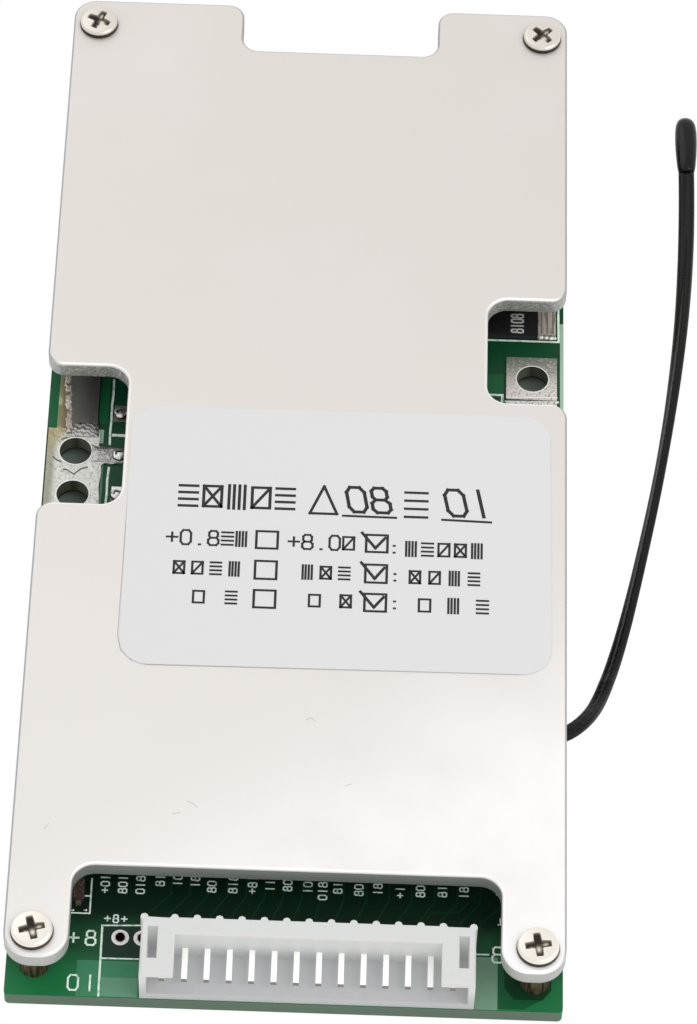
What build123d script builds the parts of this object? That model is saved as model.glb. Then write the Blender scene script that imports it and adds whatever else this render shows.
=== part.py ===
from build123d import *
import math
import os

os.makedirs("parts", exist_ok=True)

# A battery management board: a circuit board that carries an aluminium heat plate on four
# standoffs, with a side-entry balance connector at the front edge, power terminals in two
# side windows of the plate, and a temperature sensor on a flat lead at the right.
# Millimetres, +Z up, +Y to the back. The origin is the middle of the footprint, without the
# sensor lead, on the surface that the lower screw heads stand on.

# Circuit board
board_width = 62.6
board_length = 138.0
board_thickness = 2.0
board_corner = 0.6
board_notch_depth = 1.8

# Heat plate; its left window is measured from the board's front edge and its right one from the
# back edge, and both from the plate's sides
plate_setback = 0.9
plate_overhang = 1.4
plate_thickness = 2.5
plate_corner = 2.8
foot_corner = 3.1
inner_corner = 2.5
edge_corner = 2.0
plate_edge_break = 0.45
foot_width = 7.25
front_notch_depth = 12.0
back_notch_width = 24.7
back_notch_depth = 7.4
back_notch_shift = 2.6
left_window_front = 61.85
left_window_length = 20.05
left_window_depth = 9.9
right_window_back = 44.1
right_window_length = 15.45
right_window_depth = 9.6

# Fasteners, M2.5
screw_side_inset = 3.2
screw_front_inset = 3.1
screw_back_inset = 4.0
screw_diameter = 2.4
screw_sides = 12
screw_grip = 2.2
head_diameter = 4.8
head_sides = 24
head_crown_drop = 0.6
plate_head_height = 1.0
board_head_height = 1.5
recess_length = 3.0
recess_width = 0.95
recess_depth = 0.8
screw_hole_diameter = 2.8
standoff_height = 5.0
standoff_diameter = 3.5
standoff_sides = 24
standoff_bore = 2.5

# Balance connector, side entry
pin_pitch = 2.5
pin_width = 0.64
pin_height = 2.35
pin_recess = 1.15
pin_bend = 0.2
pin_outer_bend = 0.55
tail_length = 1.1
notch_clearance = 10.0
connector_shift_share = 0.243
connector_setback = 0.1
connector_end = 2.45
connector_depth = 7.25
connector_height = 5.75
connector_floor = 1.0
connector_wall = 0.75
connector_cover = 0.9
connector_block = 2.15
connector_edge = 0.25
arm_width = 3.8
slot_width = 1.1
slot_length = 4.0
slot_front = 2.1
rib_radius = 0.45
rib_sides = 8
end_rib_inset = 0.3
channel_depth = 0.5
pin_clearance = 0.02
pin_gap = 0.06

# Solder at the connector tails, and the spare holes left of the housing
solder_radius = 0.9
solder_height = 0.8
solder_chamfer = 0.35
solder_sides = 8
spare_holes = 2
spare_hole_diameter = 1.2

# Power terminals
terminal_hole_diameter = 3.9
left_hole_inset = 3.65
left_holes_setback = 6.12
left_hole_pitch = 6.3
left_pad_inset = 0.2
left_pad_width = 6.6
left_pad_setback = 2.55
left_pad_length = 13.2
pad_thickness = 0.25
bridge_setback = 11.25
bridge_width = 2.5
bridge_root = 0.7
bridge_length = 2.3
bridge_height = 0.45
bar_inset = 2.3
bar_width = 3.75
bar_clearance = 2.0
bar_thickness = 0.5
right_hole_inset = 3.8
right_pad_inset = 0.8
right_pad_width = 6.2
right_pad_length = 6.3
right_pad_gap = 0.3
right_pads_setback = 0.8
right_pad_count = 2

# Shunt resistors
shunt_count = 4
shunt_pitch = 6.6
shunts_back = 44.5
shunt_inset = 1.0
shunt_share = 0.176
shunt_width = 5.2
shunt_end = 2.2
shunt_end_height = 1.1
shunt_body_height = 1.35

# Power transistors
mosfet_pitch = 11.7
first_mosfet = 59.5
last_mosfet_inset = 19.5
mosfet_body_length = 9.0
mosfet_body_width = 10.1
mosfet_height = 4.4
tab_length = 9.6
tab_reach = 1.4
tab_width = 9.2
tab_thickness = 1.27
leg_width = 0.8
leg_thickness = 0.5
leg_spread = 5.08
leg_exit_height = 2.0
leg_reach = 5.0
leg_foot = 2.3
left_legs_inset = 8.3
thermal_pad_inset = 0.45
leg_clearance = 2.3

# Small parts in rows across the board
filter_row = 17.7
filter_length = 2.0
filter_width = 1.25
filter_height = 0.6
filter_end = 0.4
cell_pitch = 4.2
balance_row = 27.0
balance_length = 3.2
balance_width = 1.6
balance_height = 0.65
balance_end = 0.5
capacitor_count = 6
capacitor_pitch = 8.5
capacitor_row = 47.6
capacitor_length = 2.0
capacitor_width = 1.25
capacitor_height = 1.2
capacitor_end = 0.4
transistor_row = 22.3
transistor_length = 2.9
transistor_width = 1.3
transistor_height = 1.05
transistor_leg_width = 0.4
transistor_leg_reach = 0.6
transistor_leg_height = 0.45
transistor_leg_spread = 1.9
monitor_count = 3
monitor_pitch = 17.0
monitor_row = 40.2
monitor_length = 9.9
monitor_width = 3.9
monitor_height = 1.55
monitor_standoff = 0.15
monitor_leg_pitch = 1.8
monitor_legs_a_side = 5
monitor_leg_width = 0.42
monitor_leg_thickness = 0.22
monitor_leg_reach = 1.05
monitor_leg_foot = 0.55
diode_inset = 7.7
diode_front = 12.2
diode_length = 2.4
diode_width = 1.2
diode_height = 1.0
diode_leg_width = 0.6
diode_leg_reach = 0.55
diode_leg_height = 0.35

# Sensor lead and its socket
socket_inset = 7.3
socket_front = 32.3
socket_length = 3.6
socket_width = 3.8
socket_height = 3.6
lead_exit_height = 2.4
socket_chamfer = 0.3
lead_diameter = 1.6
bead_length = 9.2
bead_width = 2.9
bead_thickness = 2.1
bead_sides = 16

# Label on the plate
label_length = 36.5
label_corner = 3.4
label_thickness = 0.12
label_side_inset = 1.9
label_window_gap = 0.8
label_setback = 2.25
label_turn = 0.4

# Levels and edges that follow from the sizes above
board_bottom = board_head_height
board_top = board_bottom + board_thickness
plate_bottom = board_top + standoff_height
plate_top = plate_bottom + plate_thickness
overall_length = board_length + plate_overhang
board_front = -overall_length / 2
board_back = board_front + board_length
board_left = -board_width / 2
board_right = board_width / 2
plate_front = board_front + plate_setback
plate_back = board_back + plate_overhang
plate_width = board_width
plate_length = plate_back - plate_front
front_notch_width = plate_width - 2 * foot_width
screw_x = board_width / 2 - screw_side_inset
front_screws_y = plate_front + screw_front_inset
back_screws_y = plate_back - screw_back_inset
screw_points = [(side * screw_x, y) for side in (-1, 1) for y in (front_screws_y, back_screws_y)]
passage_width = pin_width + 2 * pin_clearance
connector_front = board_front + connector_setback
connector_rear = connector_front + connector_depth
pin_count = int((front_notch_width - notch_clearance - 2 * connector_end) / pin_pitch) + 1
connector_width = (pin_count - 1) * pin_pitch + 2 * connector_end
connector_shift = connector_shift_share * (front_notch_width - connector_width)
cell_count = pin_count - 1
pin_row_y = connector_rear + pin_width / 2 + pin_gap
first_pin_x = connector_shift - (pin_count - 1) * pin_pitch / 2
pin_points = [(first_pin_x + i * pin_pitch, pin_row_y) for i in range(pin_count)]
spare_points = [(first_pin_x - (i + 1) * pin_pitch, pin_row_y) for i in range(spare_holes)]
left_hole_x = board_left + left_hole_inset
left_window_y = board_front + left_window_front
left_holes_y = left_window_y + left_holes_setback
left_hole_points = [(left_hole_x, left_holes_y + i * left_hole_pitch) for i in range(2)]
right_hole_x = board_right - right_hole_inset
right_window_y = board_back - right_window_back - right_window_length
right_pads_y = right_window_y - right_pads_setback + right_pad_length / 2
right_pad_pitch = right_pad_length + right_pad_gap
right_hole_points = [(right_hole_x, right_pads_y + i * right_pad_pitch) for i in range(right_pad_count)]


def nearest_corners(sketch, points):
    """The sketch's corner nearest to each point."""
    return [sketch.vertices().sort_by_distance(Vector(*point))[0] for point in points]


# Circuit board, with holes for screws and terminals, and the tails' holes as the solder leaves them
with BuildPart() as circuit_board:
    with BuildSketch(Plane.XY.offset(board_bottom)):
        with Locations((0, (board_front + board_back) / 2)):
            RectangleRounded(board_width, board_length, board_corner)
        with Locations((back_notch_shift, board_back)):
            Rectangle(back_notch_width, 2 * board_notch_depth, mode=Mode.SUBTRACT)
        with Locations(*screw_points):
            Circle(screw_hole_diameter / 2, mode=Mode.SUBTRACT)
        with Locations(*pin_points):
            Rectangle(passage_width, passage_width, mode=Mode.SUBTRACT)
        with Locations(*spare_points):
            RegularPolygon(spare_hole_diameter / 2, solder_sides, mode=Mode.SUBTRACT)
        with Locations(*left_hole_points, *right_hole_points):
            Circle(terminal_hole_diameter / 2, mode=Mode.SUBTRACT)
    extrude(amount=board_thickness)
circuit_board.part.label = "circuit_board"
export_step(circuit_board.part, "parts/circuit_board.step")

# Heat plate: a stamped sheet with two feet, a back notch and two side windows
side_x = plate_width / 2
front_notch_y = plate_front + front_notch_depth
back_notch_y = plate_back - back_notch_depth
left_window_x = -side_x + left_window_depth
right_window_x = side_x - right_window_depth
outer_back_corners = [(-side_x, plate_back), (side_x, plate_back)]
foot_corners = [
    (-side_x, plate_front),
    (-front_notch_width / 2, plate_front),
    (front_notch_width / 2, plate_front),
    (side_x, plate_front),
]
inner_corners = [
    (-front_notch_width / 2, front_notch_y),
    (front_notch_width / 2, front_notch_y),
    (left_window_x, left_window_y),
    (left_window_x, left_window_y + left_window_length),
    (right_window_x, right_window_y),
    (right_window_x, right_window_y + right_window_length),
]
edge_corners = [
    (-side_x, left_window_y),
    (-side_x, left_window_y + left_window_length),
    (side_x, right_window_y),
    (side_x, right_window_y + right_window_length),
    (back_notch_shift - back_notch_width / 2, back_notch_y),
    (back_notch_shift + back_notch_width / 2, back_notch_y),
    (back_notch_shift - back_notch_width / 2, plate_back),
    (back_notch_shift + back_notch_width / 2, plate_back),
]
with BuildPart() as heat_plate:
    with BuildSketch(Plane.XY.offset(plate_bottom)) as plate_outline:
        with Locations((0, (plate_front + plate_back) / 2)):
            Rectangle(plate_width, plate_length)
        with Locations((0, plate_front)):
            Rectangle(front_notch_width, 2 * front_notch_depth, mode=Mode.SUBTRACT)
        with Locations((back_notch_shift, plate_back)):
            Rectangle(back_notch_width, 2 * back_notch_depth, mode=Mode.SUBTRACT)
        with Locations((-side_x, left_window_y + left_window_length / 2)):
            Rectangle(2 * left_window_depth, left_window_length, mode=Mode.SUBTRACT)
        with Locations((side_x, right_window_y + right_window_length / 2)):
            Rectangle(2 * right_window_depth, right_window_length, mode=Mode.SUBTRACT)
        fillet(nearest_corners(plate_outline, outer_back_corners), plate_corner)
        fillet(nearest_corners(plate_outline, foot_corners), foot_corner)
        fillet(nearest_corners(plate_outline, inner_corners), inner_corner)
        fillet(nearest_corners(plate_outline, edge_corners), edge_corner)
    extrude(amount=plate_thickness)
    chamfer(heat_plate.faces().sort_by(Axis.Z)[-1].outer_wire().edges(), plate_edge_break)
    with BuildSketch(Plane.XY.offset(plate_bottom)):
        with Locations(*screw_points):
            Circle(screw_hole_diameter / 2)
    extrude(amount=plate_thickness, mode=Mode.SUBTRACT)
heat_plate.part.label = "heat_plate"
export_step(heat_plate.part, "parts/heat_plate.step")


def pan_head_screw(shank_length, head_height):
    """A screw that points down from its seat at Z = 0: pan head, cross recess, plain shank."""
    with BuildPart() as screw:
        with BuildSketch():
            RegularPolygon(head_diameter / 2, head_sides)
        extrude(amount=head_height)
        crown_edges = screw.faces().sort_by(Axis.Z)[-1].edges()
        chamfer(crown_edges, head_crown_drop)
        with BuildSketch():
            RegularPolygon(screw_diameter / 2, screw_sides)
        extrude(amount=-shank_length)
        with BuildSketch(Plane.XY.offset(head_height)):
            Rectangle(recess_length, recess_width)
            Rectangle(recess_width, recess_length)
        extrude(amount=-recess_depth, mode=Mode.SUBTRACT)
    return screw.part


# Screws through the plate, one in each corner
plate_screw = pan_head_screw(plate_thickness + screw_grip, plate_head_height)
plate_screw_turns = [15, 65, 9, 43]
with BuildPart() as plate_screws:
    for point, turn in zip(screw_points, plate_screw_turns):
        with Locations(Location((*point, plate_top), (0, 0, turn))):
            add(plate_screw)
plate_screws.part.label = "plate_screws"
export_step(plate_screws.part, "parts/plate_screws.step")

# Screws from below, whose heads the board stands on
board_screw = pan_head_screw(board_thickness + screw_grip, board_head_height)
with BuildPart() as board_screws:
    for point in screw_points:
        with Locations(Location((*point, board_bottom), (180, 0, 0))):
            add(board_screw)
board_screws.part.label = "board_screws"
export_step(board_screws.part, "parts/board_screws.step")

# Brass standoffs between board and plate, with narrow flats all round
with BuildPart() as standoffs:
    with BuildSketch(Plane.XY.offset(board_top)):
        with Locations(*screw_points):
            RegularPolygon(standoff_diameter / 2, standoff_sides)
            RegularPolygon(standoff_bore / 2, screw_sides, mode=Mode.SUBTRACT)
    extrude(amount=standoff_height)
standoffs.part.label = "standoffs"
export_step(standoffs.part, "parts/standoffs.step")

# Connector housing: a rear block that holds the pins, a floor, end walls and two cover arms
block_front = connector_rear - connector_block
cavity_depth = connector_depth - connector_block
cavity_width = connector_width - 2 * connector_wall
cavity_height = connector_height - connector_floor - connector_cover
housing_top = board_top + connector_height
slot_x = connector_width / 2 - connector_wall - slot_width / 2
rib_points = [(first_pin_x + (i + 0.5) * pin_pitch, connector_rear) for i in range(pin_count - 1)]
for side in (-1, 1):
    rib_points.append((connector_shift + side * (connector_width / 2 - end_rib_inset), connector_rear))
with BuildPart() as connector_housing:
    with BuildSketch(Plane.XY.offset(board_top)):
        with Locations((connector_shift, connector_front + connector_depth / 2)):
            Rectangle(connector_width, connector_depth)
    extrude(amount=connector_height)
    chamfer(connector_housing.faces().sort_by(Axis.Z)[-1].edges().filter_by(Axis.Y), connector_edge)
    with BuildSketch(Plane.XZ.offset(-connector_front)):
        with Locations((connector_shift, board_top + connector_floor + cavity_height / 2)):
            Rectangle(cavity_width, cavity_height)
    extrude(amount=-cavity_depth, mode=Mode.SUBTRACT)
    with BuildSketch(Plane.XY.offset(housing_top)):
        with Locations((connector_shift, connector_front + cavity_depth / 2)):
            Rectangle(connector_width - 2 * arm_width, cavity_depth)
        with Locations(
            (connector_shift - slot_x, connector_front + slot_front + slot_length / 2),
            (connector_shift + slot_x, connector_front + slot_front + slot_length / 2),
        ):
            Rectangle(slot_width, slot_length)
    extrude(amount=-connector_height + connector_floor, mode=Mode.SUBTRACT)
    with BuildSketch(Plane.XY.offset(board_top)):
        with Locations(*rib_points):
            RegularPolygon(rib_radius, rib_sides)
    extrude(amount=connector_height)
    with BuildSketch(Plane.XZ.offset(-block_front)):
        with Locations(*[(x, board_top + pin_height) for x, y in pin_points]):
            Rectangle(passage_width, passage_width)
    extrude(amount=-connector_block, mode=Mode.SUBTRACT)
    with BuildSketch(Plane.XY.offset(board_top)):
        with Locations(*[(x, connector_rear) for x, y in pin_points]):
            Rectangle(passage_width, 2 * channel_depth)
    extrude(amount=pin_height, mode=Mode.SUBTRACT)
connector_housing.part.label = "connector_housing"
export_step(connector_housing.part, "parts/connector_housing.step")

# Connector pins: square wire, along the cavity, through the block and down through the board
pin_level = board_top + pin_height
tail_level = board_bottom - tail_length
pin_half = pin_width / 2
with BuildPart() as one_pin:
    with BuildSketch(Plane.YZ) as pin_profile:
        with BuildLine():
            Polyline(
                (connector_front + pin_recess, pin_level - pin_half),
                (pin_row_y - pin_half - pin_bend, pin_level - pin_half),
                (pin_row_y - pin_half, pin_level - pin_half - pin_bend),
                (pin_row_y - pin_half, tail_level),
                (pin_row_y + pin_half, tail_level),
                (pin_row_y + pin_half, pin_level + pin_half - pin_outer_bend),
                (pin_row_y + pin_half - pin_outer_bend, pin_level + pin_half),
                (connector_front + pin_recess, pin_level + pin_half),
                close=True,
            )
        make_face()
    extrude(pin_profile.sketch, amount=pin_half, both=True)
with BuildPart() as connector_pins:
    for x, y in pin_points:
        with Locations((x, 0, 0)):
            add(one_pin.part)
connector_pins.part.label = "connector_pins"
export_step(connector_pins.part, "parts/connector_pins.step")

# Solder cones round the connector tails, under the board
with BuildPart() as one_cone:
    with BuildSketch(Plane.XY.offset(board_bottom)):
        with Locations((0, pin_row_y)):
            RegularPolygon(solder_radius, solder_sides)
    extrude(amount=-solder_height)
    chamfer(one_cone.faces().sort_by(Axis.Z)[0].edges(), solder_chamfer)
    add(one_pin.part, mode=Mode.SUBTRACT)
with BuildPart() as pin_solder:
    for x, y in pin_points:
        with Locations((x, 0, 0)):
            add(one_cone.part)
pin_solder.part.label = "pin_solder"
export_step(pin_solder.part, "parts/pin_solder.step")

left_pad_back = left_window_y + left_pad_setback + left_pad_length
bar_length = back_screws_y - standoff_diameter / 2 - bar_clearance - left_pad_back

# Flat bar that carries the current along the left edge, butted to the tinned field
with BuildPart() as current_bar:
    with BuildSketch(Plane.XY.offset(board_top)):
        with Locations((board_left + bar_inset + bar_width / 2, left_pad_back + bar_length / 2)):
            Rectangle(bar_width, bar_length)
    extrude(amount=bar_thickness)
current_bar.part.label = "current_bar"
export_step(current_bar.part, "parts/current_bar.step")

# Right terminals: square tinned pads, each round its own hole
right_pad_x = board_right - right_pad_inset - right_pad_width / 2
with BuildPart() as right_terminals:
    with BuildSketch(Plane.XY.offset(board_top)):
        with Locations(*[(right_pad_x, y) for x, y in right_hole_points]):
            Rectangle(right_pad_width, right_pad_length)
        with Locations(*right_hole_points):
            Circle(terminal_hole_diameter / 2, mode=Mode.SUBTRACT)
    extrude(amount=pad_thickness)
right_terminals.part.label = "right_terminals"
export_step(right_terminals.part, "parts/right_terminals.step")


def chip_body(length, width, height, end):
    """A chip part's body along Y, seated at Z = 0, without its two metal ends."""
    with BuildPart() as body:
        with BuildSketch():
            Rectangle(width, length - 2 * end)
        extrude(amount=height)
    return body.part


def chip_ends(length, width, height, end):
    """The two metal ends of a chip part that lies along Y."""
    with BuildPart() as ends:
        with BuildSketch():
            with GridLocations(0, length - end, 1, 2):
                Rectangle(width, end)
        extrude(amount=height)
    return ends.part


def across(count, pitch, row, shift=0):
    """Places in a row across the board, at a distance from its front edge."""
    first = shift - (count - 1) * pitch / 2
    return [Location((first + i * pitch, board_front + row, board_top)) for i in range(count)]


# Shunt resistors beside the right edge, across the board
shunt_length = shunt_share * board_width
shunt_x = board_right - shunt_inset - shunt_length / 2
first_shunt_y = board_back - shunts_back + shunt_width / 2
shunt_places = [
    Location((shunt_x, first_shunt_y + i * shunt_pitch, board_top), (0, 0, 90)) for i in range(shunt_count)
]
with BuildPart() as shunt_bodies:
    with Locations(*shunt_places):
        add(chip_body(shunt_length, shunt_width, shunt_body_height, shunt_end))
shunt_bodies.part.label = "shunt_bodies"
export_step(shunt_bodies.part, "parts/shunt_bodies.step")
with BuildPart() as shunt_ends:
    with Locations(*shunt_places):
        add(chip_ends(shunt_length, shunt_width, shunt_end_height, shunt_end))
shunt_ends.part.label = "shunt_ends"
export_step(shunt_ends.part, "parts/shunt_ends.step")

# Power transistors in two columns, with their legs to the sides; X = 0 is the tip of the feet
body_start = leg_reach
body_end = body_start + mosfet_body_length
tab_end = body_end + tab_reach
tab_start = tab_end - tab_length
with BuildPart() as one_mosfet_body:
    with BuildSketch(Plane.XZ.offset(-mosfet_body_width / 2)):
        with BuildLine():
            Polyline(
                (body_start, 0),
                (tab_start, 0),
                (tab_start, tab_thickness),
                (body_end, tab_thickness),
                (body_end, mosfet_height),
                (body_start, mosfet_height),
                close=True,
            )
        make_face()
    extrude(amount=mosfet_body_width)
leg_top = leg_exit_height + leg_thickness
with BuildPart() as one_mosfet_frame:
    with BuildSketch():
        with Locations(((tab_start + tab_end) / 2, 0)):
            Rectangle(tab_length, tab_width)
    extrude(amount=tab_thickness)
    with BuildSketch(Plane.XZ) as leg_profile:
        with BuildLine():
            Polyline(
                (0, 0),
                (leg_foot, 0),
                (leg_foot + leg_thickness, leg_exit_height),
                (body_start, leg_exit_height),
                (body_start, leg_top),
                (leg_foot, leg_top),
                (leg_foot - leg_thickness, leg_thickness),
                (0, leg_thickness),
                close=True,
            )
        make_face()
    leg_solids = extrude(leg_profile.sketch, amount=leg_width / 2, both=True, mode=Mode.PRIVATE)
    for side in (-1, 1):
        with Locations((0, side * leg_spread / 2, 0)):
            add(leg_solids)
left_legs_x = board_left + left_legs_inset
right_legs_x = board_right - shunt_inset - shunt_length - leg_clearance
mosfet_rows = int((board_length - last_mosfet_inset - first_mosfet) / mosfet_pitch) + 1
mosfet_places = []
for row in range(mosfet_rows):
    row_y = board_front + first_mosfet + row * mosfet_pitch
    mosfet_places.append(Location((left_legs_x, row_y, board_top)))
    mosfet_places.append(Location((right_legs_x, row_y, board_top), (0, 0, 180)))
with BuildPart() as mosfet_bodies:
    with Locations(*mosfet_places):
        add(one_mosfet_body.part)
mosfet_bodies.part.label = "mosfet_bodies"
export_step(mosfet_bodies.part, "parts/mosfet_bodies.step")
with BuildPart() as mosfet_frames:
    with Locations(*mosfet_places):
        add(one_mosfet_frame.part)
mosfet_frames.part.label = "mosfet_frames"
export_step(mosfet_frames.part, "parts/mosfet_frames.step")

# Left terminal: a tinned field round two holes, with a solder bridge to a transistor leg
left_pad_x = board_left + left_pad_inset
left_pad_right = left_pad_x + left_pad_width
bridge_y = left_window_y + bridge_setback + bridge_width / 2
with BuildPart() as left_terminal:
    with BuildSketch(Plane.XY.offset(board_top)):
        with Locations((left_pad_x + left_pad_width / 2, left_pad_back - left_pad_length / 2)):
            Rectangle(left_pad_width, left_pad_length)
        with Locations(*left_hole_points):
            Circle(terminal_hole_diameter / 2, mode=Mode.SUBTRACT)
    extrude(amount=pad_thickness)
    with BuildSketch(Plane.XY.offset(board_top)):
        with Locations((left_pad_right + (bridge_length - bridge_root) / 2, bridge_y)):
            Rectangle(bridge_length + bridge_root, bridge_width)
    extrude(amount=bridge_height)
    add(mosfet_frames.part, mode=Mode.SUBTRACT)
left_terminal.part.label = "left_terminal"
export_step(left_terminal.part, "parts/left_terminal.step")

# Thermal pads that fill the space between the transistors and the plate
thermal_pad_length = (mosfet_rows - 1) * mosfet_pitch + mosfet_body_width
thermal_pad_y = board_front + first_mosfet + (mosfet_rows - 1) * mosfet_pitch / 2
thermal_pad_thickness = standoff_height - mosfet_height
body_middle = (body_start + body_end) / 2
with BuildPart() as thermal_pads:
    with BuildSketch(Plane.XY.offset(board_top + mosfet_height)):
        with Locations((left_legs_x + body_middle, thermal_pad_y), (right_legs_x - body_middle, thermal_pad_y)):
            Rectangle(mosfet_body_length - 2 * thermal_pad_inset, thermal_pad_length)
    extrude(amount=thermal_pad_thickness)
thermal_pads.part.label = "thermal_pads"
export_step(thermal_pads.part, "parts/thermal_pads.step")

# Cell filter parts, right behind the front notch
filter_places = across(pin_count, pin_pitch, filter_row, connector_shift)
with BuildPart() as filter_bodies:
    with Locations(*filter_places):
        add(chip_body(filter_length, filter_width, filter_height, filter_end))
filter_bodies.part.label = "filter_bodies"
export_step(filter_bodies.part, "parts/filter_bodies.step")
with BuildPart() as filter_ends:
    with Locations(*filter_places):
        add(chip_ends(filter_length, filter_width, filter_height, filter_end))
filter_ends.part.label = "filter_ends"
export_step(filter_ends.part, "parts/filter_ends.step")

# Balance resistors, one to a cell
balance_places = across(cell_count, cell_pitch, balance_row)
with BuildPart() as balance_bodies:
    with Locations(*balance_places):
        add(chip_body(balance_length, balance_width, balance_height, balance_end))
balance_bodies.part.label = "balance_bodies"
export_step(balance_bodies.part, "parts/balance_bodies.step")
with BuildPart() as balance_ends:
    with Locations(*balance_places):
        add(chip_ends(balance_length, balance_width, balance_height, balance_end))
balance_ends.part.label = "balance_ends"
export_step(balance_ends.part, "parts/balance_ends.step")

# Smoothing capacitors behind the monitor chips
capacitor_places = across(capacitor_count, capacitor_pitch, capacitor_row)
with BuildPart() as capacitor_bodies:
    with Locations(*capacitor_places):
        add(chip_body(capacitor_length, capacitor_width, capacitor_height, capacitor_end))
capacitor_bodies.part.label = "capacitor_bodies"
export_step(capacitor_bodies.part, "parts/capacitor_bodies.step")
with BuildPart() as capacitor_ends:
    with Locations(*capacitor_places):
        add(chip_ends(capacitor_length, capacitor_width, capacitor_height, capacitor_end))
capacitor_ends.part.label = "capacitor_ends"
export_step(capacitor_ends.part, "parts/capacitor_ends.step")

# Balance transistors: a small body, one leg behind it and two in front
transistor_places = across(cell_count, cell_pitch, transistor_row)
leg_y = (transistor_width + transistor_leg_reach) / 2
with BuildPart() as transistor_bodies:
    with Locations(*transistor_places):
        Box(
            transistor_length,
            transistor_width,
            transistor_height,
            align=(Align.CENTER, Align.CENTER, Align.MIN),
        )
transistor_bodies.part.label = "transistor_bodies"
export_step(transistor_bodies.part, "parts/transistor_bodies.step")
with BuildPart() as one_leg_set:
    with Locations((0, leg_y, 0), (-transistor_leg_spread / 2, -leg_y, 0), (transistor_leg_spread / 2, -leg_y, 0)):
        Box(
            transistor_leg_width,
            transistor_leg_reach,
            transistor_leg_height,
            align=(Align.CENTER, Align.CENTER, Align.MIN),
        )
with BuildPart() as transistor_legs:
    with Locations(*transistor_places):
        add(one_leg_set.part)
transistor_legs.part.label = "transistor_legs"
export_step(transistor_legs.part, "parts/transistor_legs.step")

# Cell monitor chips with bent legs along both long sides
monitor_places = across(monitor_count, monitor_pitch, monitor_row)
with BuildPart() as monitor_bodies:
    with Locations(*[place * Location((0, 0, monitor_standoff)) for place in monitor_places]):
        Box(
            monitor_length,
            monitor_width,
            monitor_height,
            align=(Align.CENTER, Align.CENTER, Align.MIN),
        )
monitor_bodies.part.label = "monitor_bodies"
export_step(monitor_bodies.part, "parts/monitor_bodies.step")
monitor_leg_level = monitor_standoff + monitor_height / 2
monitor_side = monitor_width / 2
with BuildPart() as one_monitor_leg_row:
    with BuildSketch(Plane.YZ) as monitor_leg_profile:
        with BuildLine():
            Polyline(
                (monitor_side, monitor_leg_level),
                (monitor_side, monitor_leg_level - monitor_leg_thickness),
                (monitor_side + monitor_leg_reach - monitor_leg_foot, 0),
                (monitor_side + monitor_leg_reach, 0),
                (monitor_side + monitor_leg_reach, monitor_leg_thickness),
                (monitor_side + monitor_leg_reach - monitor_leg_foot / 2, monitor_leg_thickness),
                close=True,
            )
        make_face()
    one_monitor_leg = extrude(monitor_leg_profile.sketch, amount=monitor_leg_width / 2, both=True, mode=Mode.PRIVATE)
    with GridLocations(monitor_leg_pitch, 0, monitor_legs_a_side, 1):
        add(one_monitor_leg)
with BuildPart() as monitor_legs:
    for place in monitor_places:
        with Locations(place, place * Location((0, 0, 0), (0, 0, 180))):
            add(one_monitor_leg_row.part)
monitor_legs.part.label = "monitor_legs"
export_step(monitor_legs.part, "parts/monitor_legs.step")

# Small diode beside the left foot, along the board
diode_x = board_left + diode_inset
diode_y = board_front + diode_front + diode_length / 2
diode_leg_y = (diode_length + diode_leg_reach) / 2
with BuildPart() as corner_diode:
    with Locations((diode_x, diode_y, board_top)):
        Box(diode_width, diode_length, diode_height, align=(Align.CENTER, Align.CENTER, Align.MIN))
corner_diode.part.label = "corner_diode"
export_step(corner_diode.part, "parts/corner_diode.step")
with BuildPart() as corner_diode_legs:
    with Locations((diode_x, diode_y - diode_leg_y, board_top), (diode_x, diode_y + diode_leg_y, board_top)):
        Box(diode_leg_width, diode_leg_reach, diode_leg_height, align=(Align.CENTER, Align.CENTER, Align.MIN))
corner_diode_legs.part.label = "corner_diode_legs"
export_step(corner_diode_legs.part, "parts/corner_diode_legs.step")

# Socket that the sensor lead comes out of, under the plate beside the right edge
socket_right = board_right - socket_inset + socket_length / 2
socket_x = socket_right - socket_length / 2
socket_y = board_front + socket_front + socket_width / 2
with BuildPart() as sensor_socket:
    with BuildSketch(Plane.XY.offset(board_top)):
        with Locations((socket_x, socket_y)):
            Rectangle(socket_length, socket_width)
    extrude(amount=socket_height)
    chamfer(sensor_socket.faces().sort_by(Axis.Z)[-1].edges().filter_by(Axis.X), socket_chamfer)
sensor_socket.part.label = "sensor_socket"
export_step(sensor_socket.part, "parts/sensor_socket.step")

# Sensor lead: out of the socket, over the board's edge, down to the surface and along it.
# The points are distances from the middle of the board's front edge and above its upper face.
lead_floor = lead_diameter / 2 - board_top
lead_exit = (socket_right, socket_front + socket_width / 2, lead_exit_height)
lead_points = [
    (30.2, lead_exit[1], 2.5),
    (33.8, 37.4, 1.4),
    (36.2, 43.5, -1.8),
    (39.5, 56.2, lead_floor),
    (44.4, 82.0, lead_floor),
    (47.1, 108.0, lead_floor),
    (47.1, 122.8, lead_floor),
]
route = [Vector(x, board_front + y, board_top + z) for x, y, z in [lead_exit, *lead_points]]
arc_radii = []
for before, corner, after in zip(route, route[1:], route[2:]):
    turn = (corner - before).get_angle(after - corner)
    shorter_run = min((corner - before).length, (after - corner).length)
    arc_radii.append(0.45 * shorter_run / math.tan(math.radians(turn) / 2))
print("lead arc radii", [round(radius, 1) for radius in arc_radii])
with BuildPart() as sensor_lead:
    with BuildLine() as lead_path:
        FilletPolyline(*route, radius=arc_radii)
    lead_start = Plane(origin=route[0], z_dir=route[1] - route[0])
    with BuildSketch(lead_start):
        Circle(lead_diameter / 2)
    sweep()
lead_length = sum(edge.length for edge in lead_path.edges())
lead_section = math.pi * lead_diameter**2 / 4
print("lead length", round(lead_length, 2), "volume over section", round(sensor_lead.part.volume / lead_section, 2))
sensor_lead.part.label = "sensor_lead"
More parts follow.
